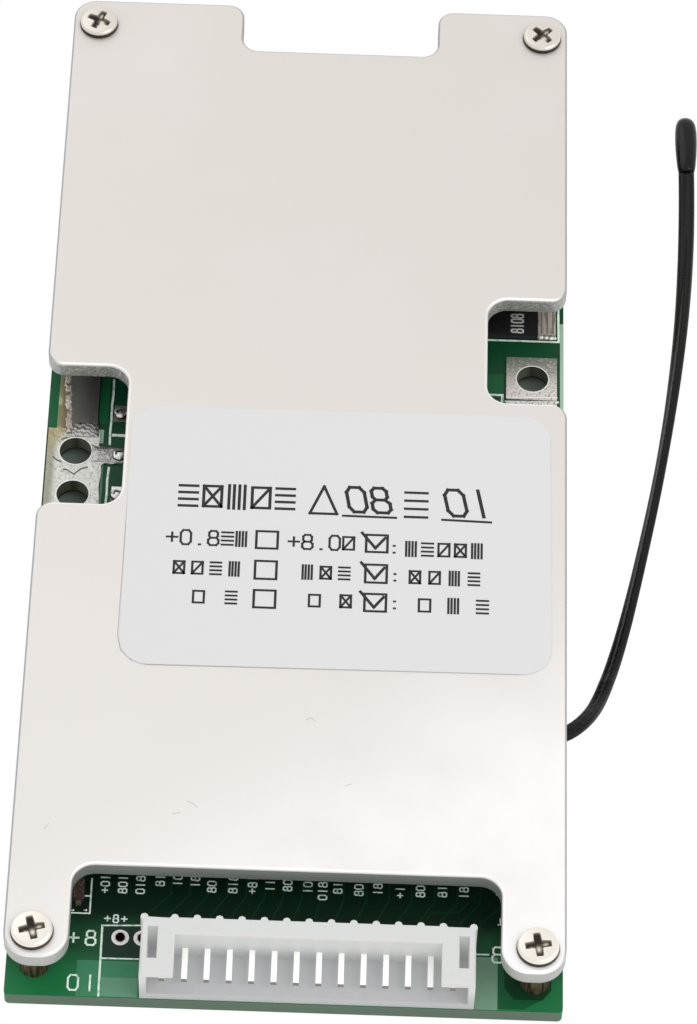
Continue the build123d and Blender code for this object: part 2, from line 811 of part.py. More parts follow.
export_step(sensor_lead.part, "parts/sensor_lead.step")

# Sensor bead: a flattened, dipped tip in line with the end of the lead
bead_axis = (route[-1] - route[-2]).normalized()
bead_start = Plane(origin=route[-1], x_dir=Vector(0, 0, 1), z_dir=bead_axis)
bead_sections = [(0.0, 0.74, 0.86), (0.14, 0.9, 0.96), (0.4, 1.0, 1.0), (0.72, 0.94, 0.94), (0.92, 0.62, 0.62), (1.0, 0.2, 0.2)]
with BuildPart() as sensor_bead:
    for share, width_share, thickness_share in bead_sections:
        half_width = bead_width / 2 * width_share
        half_thickness = bead_thickness / 2 * thickness_share
        lift = half_thickness - lead_diameter / 2
        angles = [2 * math.pi * i / bead_sides for i in range(bead_sides)]
        outline = [(lift + half_thickness * math.cos(a), half_width * math.sin(a)) for a in angles]
        with BuildSketch(bead_start.offset(share * bead_length)):
            with BuildLine():
                Polyline(*outline, close=True)
            make_face()
    loft(ruled=True)
sensor_bead.part.label = "sensor_bead"
export_step(sensor_bead.part, "parts/sensor_bead.step")

# Label stuck on the plate, a little askew
label_width = plate_width - label_side_inset - left_window_depth - label_window_gap
label_x = plate_width / 2 - label_side_inset - label_width / 2
label_y = right_window_y - label_setback - label_length / 2
with BuildPart() as rating_label:
    with BuildSketch(Plane.XY.offset(plate_top)):
        with Locations(Location((label_x, label_y, 0), (0, 0, label_turn))):
            RectangleRounded(label_width, label_length, label_corner)
    extrude(amount=label_thickness)
rating_label.part.label = "rating_label"
export_step(rating_label.part, "parts/rating_label.step")
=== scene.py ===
import math
import bpy
import bmesh
import numpy as np
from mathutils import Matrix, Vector
from mathutils.geometry import tessellate_polygon


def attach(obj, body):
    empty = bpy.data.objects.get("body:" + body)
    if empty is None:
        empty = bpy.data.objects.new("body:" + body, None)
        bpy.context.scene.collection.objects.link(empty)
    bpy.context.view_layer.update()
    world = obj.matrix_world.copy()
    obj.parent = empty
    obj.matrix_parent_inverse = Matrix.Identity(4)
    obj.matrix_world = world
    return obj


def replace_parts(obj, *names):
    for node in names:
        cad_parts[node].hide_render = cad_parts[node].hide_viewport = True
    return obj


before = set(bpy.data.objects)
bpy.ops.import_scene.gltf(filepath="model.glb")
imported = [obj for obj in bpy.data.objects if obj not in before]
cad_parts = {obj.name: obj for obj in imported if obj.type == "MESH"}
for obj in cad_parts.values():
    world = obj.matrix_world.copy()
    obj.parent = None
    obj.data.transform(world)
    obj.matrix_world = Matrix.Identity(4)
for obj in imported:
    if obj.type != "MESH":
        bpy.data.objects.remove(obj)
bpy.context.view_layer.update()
print("frame loaded")

# Pieces are made in millimetres. A place is its distance to the right of the board's middle, its
# distance behind the board's front edge, and its height above the board's upper face.
boardFrontY = -69.7
boardTopZ = 3.5
floorZ = -3.5
plateBottomZ = 5.0
plateTopZ = 7.5

boardOrigin = np.array([0.0, boardFrontY, boardTopZ])


# A place on the board to the shared frame, in metres: the sum with the board's origin, by 1000; and back
def toFrame(points):
    return (np.asarray(points, dtype=float) + boardOrigin) / 1000


def fromFrame(points):
    return np.array(points) * 1000 - boardOrigin


# One sRGB part of 255 to linear: ((c + 0.055) / 1.055) to the power 2.4
def colour(red, green, blue):
    parts = [((c / 255 + 0.055) / 1.055) ** 2.4 if c > 10 else c / 255 / 12.92 for c in (red, green, blue)]
    return (*parts, 1.0)


# Camera at the photo's angle
camera = {
    "place": (0.00411445, -0.31719937, 0.46338081),
    "turn": (34.337257, -1.220462, 1.528711),
    "lens": 163.3085,
    "sensor": 36.0,
}
cameraData = bpy.data.cameras.new("camera")
cameraData.sensor_width = camera["sensor"]
cameraData.lens = camera["lens"]
cameraData.clip_start = 0.05
cameraData.clip_end = 10.0
cameraObject = bpy.data.objects.new("camera", cameraData)
cameraObject.location = camera["place"]
cameraObject.rotation_euler = [math.radians(angle) for angle in camera["turn"]]
bpy.context.scene.collection.objects.link(cameraObject)
scene = bpy.context.scene
scene.camera = cameraObject
scene.view_settings.view_transform = "Standard"

# Shader effects that several materials share


# A node in a tree, with its own settings
def addNode(tree, kind, **values):
    node = tree.nodes.new(kind)
    for key, value in values.items():
        setattr(node, key, value)
    return node


# Links in a tree, each from a node's output to another's input
def linkNodes(tree, links):
    for node, output, target, entry in links:
        tree.links.new(node.outputs[output], target.inputs[entry])


# A group with one output; each input is a vector or a number, and starts at its value
def newGroup(name, inputs, outputName, outputType):
    group = bpy.data.node_groups.new(name, "ShaderNodeTree")
    for inputName, value in inputs.items():
        socketType = "NodeSocketVector" if isinstance(value, tuple) else "NodeSocketFloat"
        socket = group.interface.new_socket(inputName, in_out="INPUT", socket_type=socketType)
        socket.default_value = value
    group.interface.new_socket(outputName, in_out="OUTPUT", socket_type=outputType)
    return group, group.nodes.new("NodeGroupInput"), group.nodes.new("NodeGroupOutput")


# Noise of the object's own place times a stretch, in a group
def addNoise(group, start):
    place = addNode(group, "ShaderNodeTexCoord")
    stretch = addNode(group, "ShaderNodeVectorMath", operation="MULTIPLY")
    noise = addNode(group, "ShaderNodeTexNoise")
    linkNodes(group, [
        (place, "Object", stretch, 0),
        (start, "Stretch", stretch, 1),
        (stretch, 0, noise, "Vector"),
        (start, "Scale", noise, "Scale"),
    ])
    return noise


# A group's mask: a value spread from 0 at one limit to 1 at the other, eased at both
def addSpread(group, start, end, node, output):
    spread = addNode(group, "ShaderNodeMapRange", interpolation_type="SMOOTHSTEP")
    linkNodes(group, [
        (node, output, spread, "Value"),
        (start, "From", spread, "From Min"),
        (start, "To", spread, "From Max"),
        (spread, "Result", end, "Mask"),
    ])


# Fine relief: the noise as a bump
def makeGrainGroup():
    inputs = {"Stretch": (1.0, 1.0, 1.0), "Scale": 1000.0, "Detail": 3.0, "Strength": 0.2, "Depth": 0.00005}
    group, start, end = newGroup("grain", inputs, "Normal", "NodeSocketVector")
    noise = addNoise(group, start)
    bump = addNode(group, "ShaderNodeBump")
    linkNodes(group, [
        (start, "Detail", noise, "Detail"),
        (noise, "Fac", bump, "Height"),
        (start, "Strength", bump, "Strength"),
        (start, "Depth", bump, "Distance"),
        (bump, "Normal", end, "Normal"),
    ])
    return group


# Patches: the noise, spread between two limits
def makePatchGroup():
    inputs = {"Stretch": (1.0, 1.0, 1.0), "Scale": 400.0, "From": 0.4, "To": 0.6}
    group, start, end = newGroup("patches", inputs, "Mask", "NodeSocketFloat")
    noise = addNoise(group, start)
    noise.inputs["Detail"].default_value = 4.0
    addSpread(group, start, end, noise, "Fac")
    return group


# A band: the object's own place along an axis, spread between two limits
def makeBandGroup():
    inputs = {"Axis": (0.0, 1.0, 0.0), "From": 0.0, "To": 0.001}
    group, start, end = newGroup("band", inputs, "Mask", "NodeSocketFloat")
    place = addNode(group, "ShaderNodeTexCoord")
    along = addNode(group, "ShaderNodeVectorMath", operation="DOT_PRODUCT")
    linkNodes(group, [(place, "Object", along, 0), (start, "Axis", along, 1)])
    addSpread(group, start, end, along, "Value")
    return group


grainGroup = makeGrainGroup()
patchGroup = makePatchGroup()
bandGroup = makeBandGroup()


# A group node in a material, with its inputs set
def useGroup(tree, group, **values):
    node = tree.nodes.new("ShaderNodeGroup")
    node.node_tree = group
    for key, value in values.items():
        node.inputs[key].default_value = value
    return node


# Masks: a band along an axis, patches of noise, and a value that the piece itself has
def bandMask(tree, axis, low, high):
    return useGroup(tree, bandGroup, Axis=axis, From=low, To=high).outputs["Mask"]


def patchMask(tree, scale, low, high, stretch=(1.0, 1.0, 1.0)):
    return useGroup(tree, patchGroup, Stretch=stretch, Scale=scale, From=low, To=high).outputs["Mask"]


def ownMask(tree, name):
    return addNode(tree, "ShaderNodeAttribute", attribute_name=name).outputs["Fac"]


# A second colour where a mask is 1, over those before it; a mix node's inputs 6 and 7 are its two
# colours, and its output 2 is the result
def mixColour(tree, second, mask):
    target = tree.nodes["Principled BSDF"].inputs["Base Color"]
    mix = addNode(tree, "ShaderNodeMix", data_type="RGBA")
    if target.is_linked:
        tree.links.new(target.links[0].from_socket, mix.inputs[6])
    else:
        mix.inputs[6].default_value = target.default_value
    mix.inputs[7].default_value = second
    tree.links.new(mask, mix.inputs[0])
    tree.links.new(mix.outputs[2], target)


materials = {}


# A material with one principled shader and its second colours, kept by its name; other values go to
# the shader's sockets of the same name
def newMaterial(name, base, roughness=0.5, metallic=0.0, seconds=(), specular=0.5, **values):
    material = bpy.data.materials.new(name)
    material.use_nodes = True
    tree = material.node_tree
    inputs = tree.nodes["Principled BSDF"].inputs
    inputs["Base Color"].default_value = colour(*base)
    inputs["Roughness"].default_value = roughness
    inputs["Metallic"].default_value = metallic
    inputs["Specular IOR Level"].default_value = specular
    for key, value in values.items():
        inputs[key.replace("_", " ")].default_value = value
    for makeMask, second, *limits in seconds:
        mixColour(tree, colour(*second), makeMask(tree, *limits))
    materials[name] = material


# Relief on a material, by the grain group
def addGrain(name, **values):
    tree = materials[name].node_tree
    node = useGroup(tree, grainGroup, **values)
    tree.links.new(node.outputs["Normal"], tree.nodes["Principled BSDF"].inputs["Normal"])


# Materials without a second colour: name, colour, roughness, metal share, an empty list, and gloss
for values in [
    ("plateMark", (206, 202, 198), 0.5, 0.7),
    ("labelFilm", (217, 217, 217), 0.5),
    ("labelEdge", (176, 172, 172), 0.6),
    ("labelInk", (22, 20, 21), 0.6),
    ("boardPour", (58, 130, 92), 0.4, 0.0, (), 0.25),
    ("boardMargin", (20, 92, 54), 0.4, 0.0, (), 0.25),
    # pour colour, lit paler at the board's front: painted light
    ("boardPalePour", (100, 148, 120), 0.5, 0.0, (), 0.1),
    ("boardBeside", (118, 154, 130), 0.5, 0.0, (), 0.1),
    # painted half shade round the right foot
    ("boardNear", (13, 84, 47), 0.4, 0.0, (), 0.25),
    ("boardShaded", (5, 53, 28), 0.4, 0.0, (), 0.25),
    ("boardDim", (28, 54, 41), 0.5, 0.0, (), 0.2),
    ("boardTrace", (14, 56, 34), 0.4, 0.0, (), 0.25),
    ("boardStrip", (158, 190, 170), 0.5),
    ("tinned", (214, 214, 210), 0.28, 1.0),
    ("tipPad", (140, 132, 128), 0.5, 0.5),
    # the crease colour is painted shade
    ("solderLine", (84, 76, 66), 0.6, 0.2),
    # bright tin, and a painted highlight where it lines the hole edges and the pad's front edge
    ("solderRim", (246, 246, 242), 0.4, 0.2),
    ("screwShade", (120, 112, 98), 0.6),
    ("resin", (24, 22, 25), 0.4),
    ("ceramic", (150, 118, 82), 0.5),
    ("gapPad", (150, 164, 182), 0.8),
    ("barrelBrown", (66, 40, 32), 0.5, 0.3),
    # painted shade of the shunt's ribs
    ("shuntRib", (156, 140, 130), 0.45, 0.6),
    ("shuntCode", (204, 204, 196), 0.5),
    ("leadSkin", (11, 10, 9), 0.34, 0.0, (), 0.2),
    ("diodeLeg", (120, 108, 98), 0.5, 0.5),
    ("beadResin", (9, 8, 8), 0.15, 0.0, (), 0.28),
]:
    newMaterial(*values)
addGrain("leadSkin", Scale=1600.0, Strength=0.7, Depth=0.0001)

# Materials with second colours, in order. A band has an axis and two limits in metres, patches have a
# scale, two limits and a stretch, and an own value has its name.
toFront = (0.0, -1.0, 0.0)
toBack = (0.0, 1.0, 0.0)
toLeft = (-1.0, 0.0, 0.0)
toRight = (1.0, 0.0, 0.0)
# Plate: lighter towards the front and nearly white towards the front right is painted light; the edge colour
# is painted shade on the rim of the outer walls, and the rim colour a painted highlight on the rim in the
# windows and notch
newMaterial("plateMatt", (224, 218, 213), 0.5, 0.7, [
    (bandMask, (230, 226, 222), (0.2, -1.0, 0.0), -0.04, 0.045),
    (bandMask, (255, 253, 252), (0.7, -1.0, 0.0), 0.03, 0.075),
    (patchMask, (226, 222, 219), 45.0, 0.45, 0.95),
    (ownMask, (162, 164, 168), "edge"),
    (ownMask, (255, 255, 255), "rim"),
])
addGrain("plateMatt", Stretch=(1.0, 0.6, 1.0), Scale=4000.0, Strength=0.05, Depth=0.00002)
# Plate walls: the cut and deep colours are painted shade on the walls of the windows and notch, the deep one
# with a painted green reflection of the board; the band towards the front brings back the plain wall colour
newMaterial("plateCut", (188, 189, 186), 0.6, 0.6, [
    (ownMask, (162, 166, 160), "cut"),
    (patchMask, (204, 204, 198), 3000.0, 0.5, 0.62, (1.0, 1.0, 1.2)),
    (patchMask, (132, 134, 128), 3500.0, 0.54, 0.68, (1.0, 1.0, 1.2)),
    (bandMask, (187, 188, 184), toFront, 0.05, 0.0535),
    (ownMask, (146, 154, 148), "deep"),
])
# Board: lighter green at the front is painted light; the dark band from the back of the notch and the mid
# green further back are painted shade beneath the plate
newMaterial("boardMask", (16, 84, 46), 0.4, 0.0, [
    (patchMask, (12, 70, 38), 250.0, 0.42, 0.6),
    (bandMask, (26, 112, 64), toFront, 0.0628, 0.0668),
    (bandMask, (6, 36, 21), toBack, -0.0615, -0.0585),
    (bandMask, (8, 70, 40), toBack, -0.048, -0.04),
    (bandMask, (84, 106, 88), toFront, 0.06966, 0.06968),
    (bandMask, (84, 106, 88), toLeft, 0.03127, 0.03129),
    (bandMask, (84, 106, 88), toRight, 0.03127, 0.03129),
], 0.25)
newMaterial("boardSilk", (236, 250, 240), 0.6, 0.0, [(patchMask, (176, 208, 188), 1600.0, 0.5, 0.66)])
newMaterial("bareResin", (132, 120, 82), 0.6, 0.0, [
    (bandMask, (120, 132, 92), toLeft, 0.0296, 0.0301),
    (patchMask, (186, 178, 148), 900.0, 0.5, 0.64, (1.0, 0.4, 1.0)),
])
# Nylon: darker lower down is painted shade, and the emission is a painted glow that lifts its shadows
newMaterial(
    "nylon", (195, 197, 196), 0.42, 0.0, [(bandMask, (162, 164, 167), (0.0, 0.0, -1.0), -0.0078, -0.0046)],
    Subsurface_Weight=0.3, Subsurface_Scale=0.001,
    Emission_Color=colour(204, 203, 200), Emission_Strength=0.2,
)
# Pins: the dark front ends are painted shade, and the emission is a painted glow
newMaterial(
    "pinTin", (255, 255, 252), 0.3, 0.1, [(bandMask, (104, 96, 90), toFront, 0.06841, 0.06844)],
    Emission_Color=colour(255, 255, 248), Emission_Strength=0.08,
)
newMaterial("solder", (214, 215, 210), 0.4, 0.8, [
    (patchMask, (198, 198, 188), 2400.0, 0.48, 0.64),
    (patchMask, (150, 146, 136), 3600.0, 0.58, 0.7),
    (bandMask, (160, 160, 146), toLeft, 0.0296, 0.0306),
    (bandMask, (176, 167, 130), (-1.0, 0.75, 0.0), 0.0328, 0.036),
])
addGrain("solder", Scale=1100.0, Detail=5.0, Strength=0.8, Depth=0.0002)
newMaterial("solderBlob", (222, 220, 217), 0.25, 0.9, [(ownMask, (52, 48, 44), "shade")])
newMaterial("solderRipple", (188, 186, 184), 0.35, 0.8, [(ownMask, (66, 64, 64), "shade")])
newMaterial("solderSeam", (176, 166, 154), 0.5, 0.4, [
    (ownMask, (118, 104, 90), "shade"),
    (patchMask, (216, 208, 200), 2100.0, 0.5, 0.6),
    (patchMask, (112, 96, 82), 1500.0, 0.54, 0.64),
])
# Terminal: lighter towards the front is painted light
newMaterial("terminalTin", (144, 149, 138), 0.45, 0.9, [
    (bandMask, (226, 218, 214), toFront, -0.0205, -0.0155),
    (patchMask, (198, 198, 192), 3000.0, 0.52, 0.64),
    (patchMask, (146, 138, 130), 4200.0, 0.56, 0.66),
])
newMaterial("brass", (104, 92, 66), 0.5, 0.6, [
    (patchMask, (48, 42, 30), 2600.0, 0.45, 0.6, (1.0, 1.0, 0.08)),
    (patchMask, (150, 132, 100), 3400.0, 0.6, 0.7, (1.0, 1.0, 0.06)),
])
# Screws: lighter towards the front is painted light; the recess colour is painted shade in the cross, the
# glint colour painted highlights, and the side colour painted shade round the head's foot
newMaterial("screwNickel", (226, 219, 210), 0.34, 0.7, [
    (bandMask, (244, 238, 228), toFront, 0.0, 0.05),
    (ownMask, (52, 41, 33), "recess"),
    (ownMask, (240, 232, 214), "glint"),
    (ownMask, (58, 52, 40), "side"),
])
newMaterial("barFilm", (104, 105, 99), 0.4, 0.4, [
    (bandMask, (80, 77, 76), toRight, -0.0282, -0.0255),
    (patchMask, (108, 104, 104), 900.0, 0.55, 0.8, (0.5, 1.0, 1.0)),
])
newMaterial("barrel", (134, 140, 120), 0.5, 0.3, [(ownMask, (24, 26, 20), "shade")])
newMaterial("shuntEnd", (228, 218, 208), 0.4, 0.7, [
    (patchMask, (170, 156, 144), 2600.0, 0.5, 0.64, (1.0, 0.2, 1.0)),
])
newMaterial("diodeResin", (66, 50, 46), 0.5, 0.0, [(patchMask, (112, 92, 88), 3000.0, 0.56, 0.64)])

# The source's nodes, by the material on them
nodeMaterials = {
    "boardMask": ["circuit_board"],
    "plateMatt": ["heat_plate"],
    "screwNickel": ["plate_screws", "board_screws"],
    "brass": ["standoffs"],
    "nylon": ["connector_housing", "sensor_socket"],
    "pinTin": ["connector_pins"],
    "solder": ["pin_solder", "left_terminal", "filter_ends", "balance_ends", "capacitor_ends"],
    "barFilm": ["current_bar"],
    "terminalTin": ["right_terminals"],
    "resin": [
        "shunt_bodies", "mosfet_bodies", "filter_bodies", "balance_bodies", "transistor_bodies",
        "monitor_bodies",
    ],
    "shuntEnd": ["shunt_ends"],
    "tinned": ["mosfet_frames", "transistor_legs", "monitor_legs"],
    "gapPad": ["thermal_pads"],
    "ceramic": ["capacitor_bodies"],
    "diodeResin": ["corner_diode"],
    "diodeLeg": ["corner_diode_legs"],
    "leadSkin": ["sensor_lead"],
    "beadResin": ["sensor_bead"],
    "labelFilm": ["rating_label"],
}
for name, nodes in nodeMaterials.items():
    for node in nodes:
        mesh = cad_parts[node].data
        mesh.materials.clear()
        mesh.materials.append(materials[name])
print("materials made")


# A mesh piece from places on the board and rows of vertex numbers
def newPiece(name, points, faces, material, smooth=True):
    mesh = bpy.data.meshes.new(name)
    mesh.from_pydata(toFrame(points).tolist(), [], faces)
    mesh.polygons.foreach_set("use_smooth", [smooth] * len(mesh.polygons))
    mesh.materials.append(materials[material])
    mesh.update()
    piece = bpy.data.objects.new(name, mesh)
    scene.collection.objects.link(piece)
    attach(piece, "root")
    return piece


# Faces of a grid of rows by columns; the columns close on themselves, the rows don't
def ringFaces(rows, columns):
    row, column = np.meshgrid(np.arange(rows - 1), np.arange(columns), indexing="ij")
    here = row * columns + column
    beside = row * columns + (column + 1) % columns
    return np.stack([here, beside, beside + columns, here + columns], axis=-1).reshape(-1, 4)


# Faces of a closed tube: its rings, then a flat face at each end
def tubeFaces(rows, columns):
    ends = [list(range(columns))[::-1], list(range((rows - 1) * columns, rows * columns))]
    return ringFaces(rows, columns).tolist() + ends


# Angles round a full turn in equal steps, and the points of a circle round a place
def fullTurn(sides):
    return np.arange(sides) * 2 * math.pi / sides


def circlePoints(x, y, radius, sides):
    angle = fullTurn(sides)
    return np.stack([x + radius * np.cos(angle), y + radius * np.sin(angle)], axis=1)


# Rows of (x, y, z) from three grids or numbers
def asPoints(x, y, z):
    return np.stack(np.broadcast_arrays(x, y, z), axis=-1).reshape(-1, 3)


# One number for each vertex, which a material reads by its name
def setValues(piece, name, values):
    layer = piece.data.attributes.new(name, "FLOAT", "POINT")
    layer.data.foreach_set("value", np.asarray(values, dtype=np.float32).ravel())


# From 0 at one limit to 1 at the other, eased: three squares less two cubes
def ease(values, low, high):
    share = np.clip((np.asarray(values, dtype=float) - low) / (high - low), 0, 1)
    return share * share * (3 - 2 * share)


# Heat plate: its outline is rounded at every corner, its upper edge rolls over and its sawn walls
# are rough; corners are (right, behind, radius), in turn against the clock, and a fade is the two
# places, or the two angles of the rim's curve, between which painted light and shade come or go
plate = {
    "rim": 0.34,
    "rimSteps": 9,
    "burr": 0.3,
    "burrSteps": 4,
    "arcSteps": 16,
    "holeRadius": 1.4,
    "holeSides": 32,
    "holes": [(-28.1, 4.0), (-28.1, 135.4), (28.1, 4.0), (28.1, 135.4)],
    "corners": [
        (-31.3, 0.9, 3.1), (-24.05, 0.9, 3.1), (-24.05, 12.9, 2.5), (24.05, 12.9, 2.5),
        (24.05, 0.9, 3.1), (31.3, 0.9, 3.1), (31.3, 78.45, 2.0), (21.7, 78.45, 2.5),
        (21.7, 93.9, 2.5), (31.3, 93.9, 2.0), (31.3, 139.4, 2.8), (14.95, 139.4, 2.0),
        (14.95, 132.0, 2.0), (-9.75, 132.0, 2.0), (-9.75, 139.4, 2.0), (-31.3, 139.4, 2.8),
        (-31.3, 81.9, 2.0), (-21.4, 81.9, 2.5), (-21.4, 61.85, 2.5), (-31.3, 61.85, 2.0),
    ],
    "windowFront": 60.0,
    "windowBack": 96.0,
    "windowFade": (29.2, 31.25),
    "notchBack": 13.0,
    "notchHalf": 24.2,
    "notchFade": (4.0, 9.0),
    "footHalf": 28.0,
    "wallFade": (0.4, 0.85),
    "curveFade": (0.45, 0.8),
    "curveEnd": (1.4, 1.56),
    "edgeFade": (1.0, 1.45),
}


# Each corner's arc: its middle, plus its radius times the way in by the sine less the way out by the
# cosine; and the way outwards at each point
def roundedOutline(corners, steps):
    places = []
    outward = []
    angle = np.linspace(0, math.pi / 2, steps)
    for index, (x, y, radius) in enumerate(corners):
        here = np.array([x, y])
        into = here - np.array(corners[index - 1][:2])
        out = np.array(corners[(index + 1) % len(corners)][:2]) - here
        into = into / np.linalg.norm(into)
        out = out / np.linalg.norm(out)
        ray = np.outer(np.sin(angle), into) - np.outer(np.cos(angle), out)
        places.append(here - into * radius + out * radius + ray * radius)
        outward.append(ray * np.sign(into[0] * out[1] - into[1] * out[0]))
    return np.concatenate(places), np.concatenate(outward)


# Faces of a flat sheet within its outline and round its holes, by vertex numbers, all facing one way
def sheetFaces(outline, holes, numbers, facing):
    loops = [[Vector((x, y, 0.0)) for x, y in loop] for loop in [outline, *holes]]
    flat = np.concatenate([outline, *holes])
    faces = []
    for one, two, three in tessellate_polygon(loops):
        side = np.cross(flat[two] - flat[one], flat[three] - flat[one])
        turned = (one, two, three) if side * facing > 0 else (one, three, two)
        faces.append([numbers[index] for index in turned])
    return faces


# Rings up the wall and over the rim: the inset grows with one less the cosine, the height with the sine.
# Then come the walls of the holes, and the flat sheets below and above
def platePiece():
    outline, outward = roundedOutline(plate["corners"], plate["arcSteps"])
    columns = len(outline)
    low = np.linspace(0, math.pi / 2, plate["burrSteps"])
    high = np.linspace(0, math.pi / 2, plate["rimSteps"])
    inset = np.concatenate([plate["burr"] * (1 - np.sin(low)), plate["rim"] * (1 - np.cos(high))])
    level = np.concatenate([
        plateBottomZ + plate["burr"] * (1 - np.cos(low)),
        plateTopZ - plate["rim"] * (1 - np.sin(high)),
    ])
    rows = len(level)
    ground = outline[None] - inset[:, None, None] * outward[None]
    points = [asPoints(ground[..., 0], ground[..., 1], level[:, None])]
    faces = ringFaces(rows, columns).tolist()
    slots = [1 if index // columns < plate["burrSteps"] else 0 for index in range(len(faces))]
    sides = plate["holeSides"]
    holes = [circlePoints(x, y, plate["holeRadius"], sides) for x, y in plate["holes"]]
    under = list(range(columns))
    over = list(range((rows - 1) * columns, rows * columns))
    for index, hole in enumerate(holes):
        start = rows * columns + index * 2 * sides
        points += [asPoints(*hole.T, plateBottomZ), asPoints(*hole.T, plateTopZ)]
        under += range(start, start + sides)
        over += range(start + sides, start + 2 * sides)
        faces += (ringFaces(2, sides)[:, [1, 0, 3, 2]] + start).tolist()
        slots += [1] * sides
    flatFaces = sheetFaces(ground[0], holes, under, -1) + sheetFaces(ground[-1], holes, over, 1)
    piece = newPiece("plateSheet", np.concatenate(points), faces + flatFaces, "plateMatt")
    piece.data.materials.append(materials["plateCut"])
    piece.data.polygons.foreach_set("use_smooth", [True] * len(faces) + [False] * len(flatFaces))
    piece.data.polygons.foreach_set("material_index", slots + [0] * len(flatFaces))
    shadePlate(piece, outline, outward, np.concatenate([np.zeros(plate["burrSteps"]), high]))
    return piece


# Painted light and shade on the plate, as values each a part up the wall times a part along the outline: in
# the windows and the notch a painted highlight on the rim and painted shade on the wall, and on the outer
# walls painted shade on the rim
def shadePlate(piece, outline, outward, turn):
    x, y = np.abs(outline[:, 0]), outline[:, 1]
    window = (y > plate["windowFront"]) & (y < plate["windowBack"]) & (x < plate["windowFade"][1])
    window = window * (1 - ease(x, *plate["windowFade"]))
    notch = ((y < plate["notchBack"]) & (x < plate["notchHalf"])) * ease(y, *plate["notchFade"])
    inner = np.maximum(window, notch)
    outer = (1 - inner) * (1 - np.clip(-outward[:, 1], 0, 1) * (y < plate["notchFade"][0]))
    outer = outer * ((y > plate["notchBack"]) | (x > plate["footHalf"]))
    wall = 1 - ease(turn, *plate["wallFade"])
    curve = ease(turn, *plate["curveFade"]) * (1 - ease(turn, *plate["curveEnd"]))
    parts = {
        "rim": (curve, inner * (1 - 0.5 * np.abs(outward[:, 0]))),
        "edge": (1 - ease(turn, *plate["edgeFade"]), 0.9 * outer),
        "cut": (wall, np.maximum(0.9 * window, notch)),
        "deep": (wall, 0.8 * notch),
    }
    for name, (up, along) in parts.items():
        values = np.outer(up, along).ravel()
        setValues(piece, name, np.pad(values, (0, len(piece.data.vertices) - len(values))))


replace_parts(platePiece(), "heat_plate")

# Plate screws: a low dome with a rolled rim, a cross cut into it, and a plain shank
screws = {
    "radius": 2.34,
    "height": 1.0,
    "dome": 0.14,
    "edge": 0.42,
    "edgeFrom": 0.2,
    "wallTop": 0.2,
    "foot": 0.01,
    "shank": 1.15,
    "depth": 4.6,
    "armLength": 1.5,
    "armWidth": 0.47,
    "armRoot": 1.12,
    "armTaper": 0.16,
    "slope": 0.16,
    "cut": 0.62,
    "cutTaper": 0.14,
    "smallest": 0.004,
    "rings": 76,
    "edgeSteps": 7,
    "sides": 132,
    "places": [(-28.1, 4.0, 15.0), (-28.1, 135.4, 65.0), (28.1, 4.0, 9.0), (28.1, 135.4, 43.0)],
    "glints": [(1.0, 0.0, 0.26, -0.4, 0.36), (0.8, 0.85, 0.3, 0.12, 0.16), (0.6, -0.75, 0.26, -0.2, 0.16)],
}


# Rows of (radius, height): the dome falls with the square of the radius, the rim is a quarter circle,
# and the cross sinks by its slope from its own edge. The cross gets painted shade, and the rows round the
# head's foot painted shade as its side. A glint is a painted highlight in the cross, given as (amount, place
# and width along, place and width across), and fades with the squares of its distances
def screwPiece():
    radius, edge, shank = screws["radius"], screws["edge"], screws["shank"]
    inner = np.linspace(screws["smallest"], radius - edge, screws["rings"])
    quarter = np.linspace(screws["edgeFrom"], math.pi / 2, screws["edgeSteps"])
    bend = radius - edge + edge * np.sin(quarter)
    ring = np.concatenate([inner, bend, [radius, radius, shank, shank, screws["smallest"]]])
    crown = screws["height"] - screws["dome"] * (inner / radius) ** 2
    fall = crown[-1] - edge + edge * np.cos(quarter)
    wall = [screws["wallTop"], screws["foot"], screws["foot"]]
    height = np.concatenate([crown, fall, wall, [-screws["depth"], -screws["depth"]]])
    angle = fullTurn(screws["sides"])
    along = np.outer(ring, np.cos(angle))
    across = np.outer(ring, np.sin(angle))
    wide = screws["armLength"]
    narrow = screws["armWidth"] * (screws["armRoot"] - screws["armTaper"] * ring[:, None])
    first = np.maximum(np.abs(along) - wide, np.abs(across) - narrow)
    second = np.maximum(np.abs(across) - wide, np.abs(along) - narrow)
    recess = np.clip(-np.minimum(first, second) / screws["slope"], 0, 1)
    recess[screws["rings"]:] = 0.0
    level = height[:, None] - recess * (screws["cut"] - screws["cutTaper"] * ring[:, None])
    side = np.zeros_like(recess)
    rimEnd = screws["rings"] + screws["edgeSteps"] - 1
    side[rimEnd: rimEnd + 4] = 1.0
    glint = np.zeros_like(recess)
    for amount, x, wideX, y, wideY in screws["glints"]:
        glint += recess * amount * np.exp(-(((along - x) / wideX) ** 2) - ((across - y) / wideY) ** 2)
    points, faces = [], []
    for index, (x, y, turn) in enumerate(screws["places"]):
        cosine, sine = math.cos(math.radians(turn)), math.sin(math.radians(turn))
        points.append(asPoints(
            x + along * cosine - across * sine, y + along * sine + across * cosine, plateTopZ + level,
        ))
        start = index * recess.size
        faces += [[start + corner for corner in face[::-1]] for face in tubeFaces(*recess.shape)]
    piece = newPiece("screwHeads", np.concatenate(points), faces, "screwNickel")
    for name, grid in [("recess", recess), ("side", side), ("glint", np.clip(glint, 0, 1))]:
        setValues(piece, name, np.tile(grid.ravel(), len(screws["places"])))
    return piece


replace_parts(screwPiece(), "plate_screws")

# Connector housing: the solid's own mesh, joined, with its long outer edges rounded; limits in metres
# and degrees for an edge, and in millimetres for the pins' passages
housing = {
    "radius": 0.00014,
    "shortest": 0.0009,
    "sharpest": 40.0,
    "lowest": 0.05,
    "rearFront": 5.3,
    "rearTop": 2.9,
}


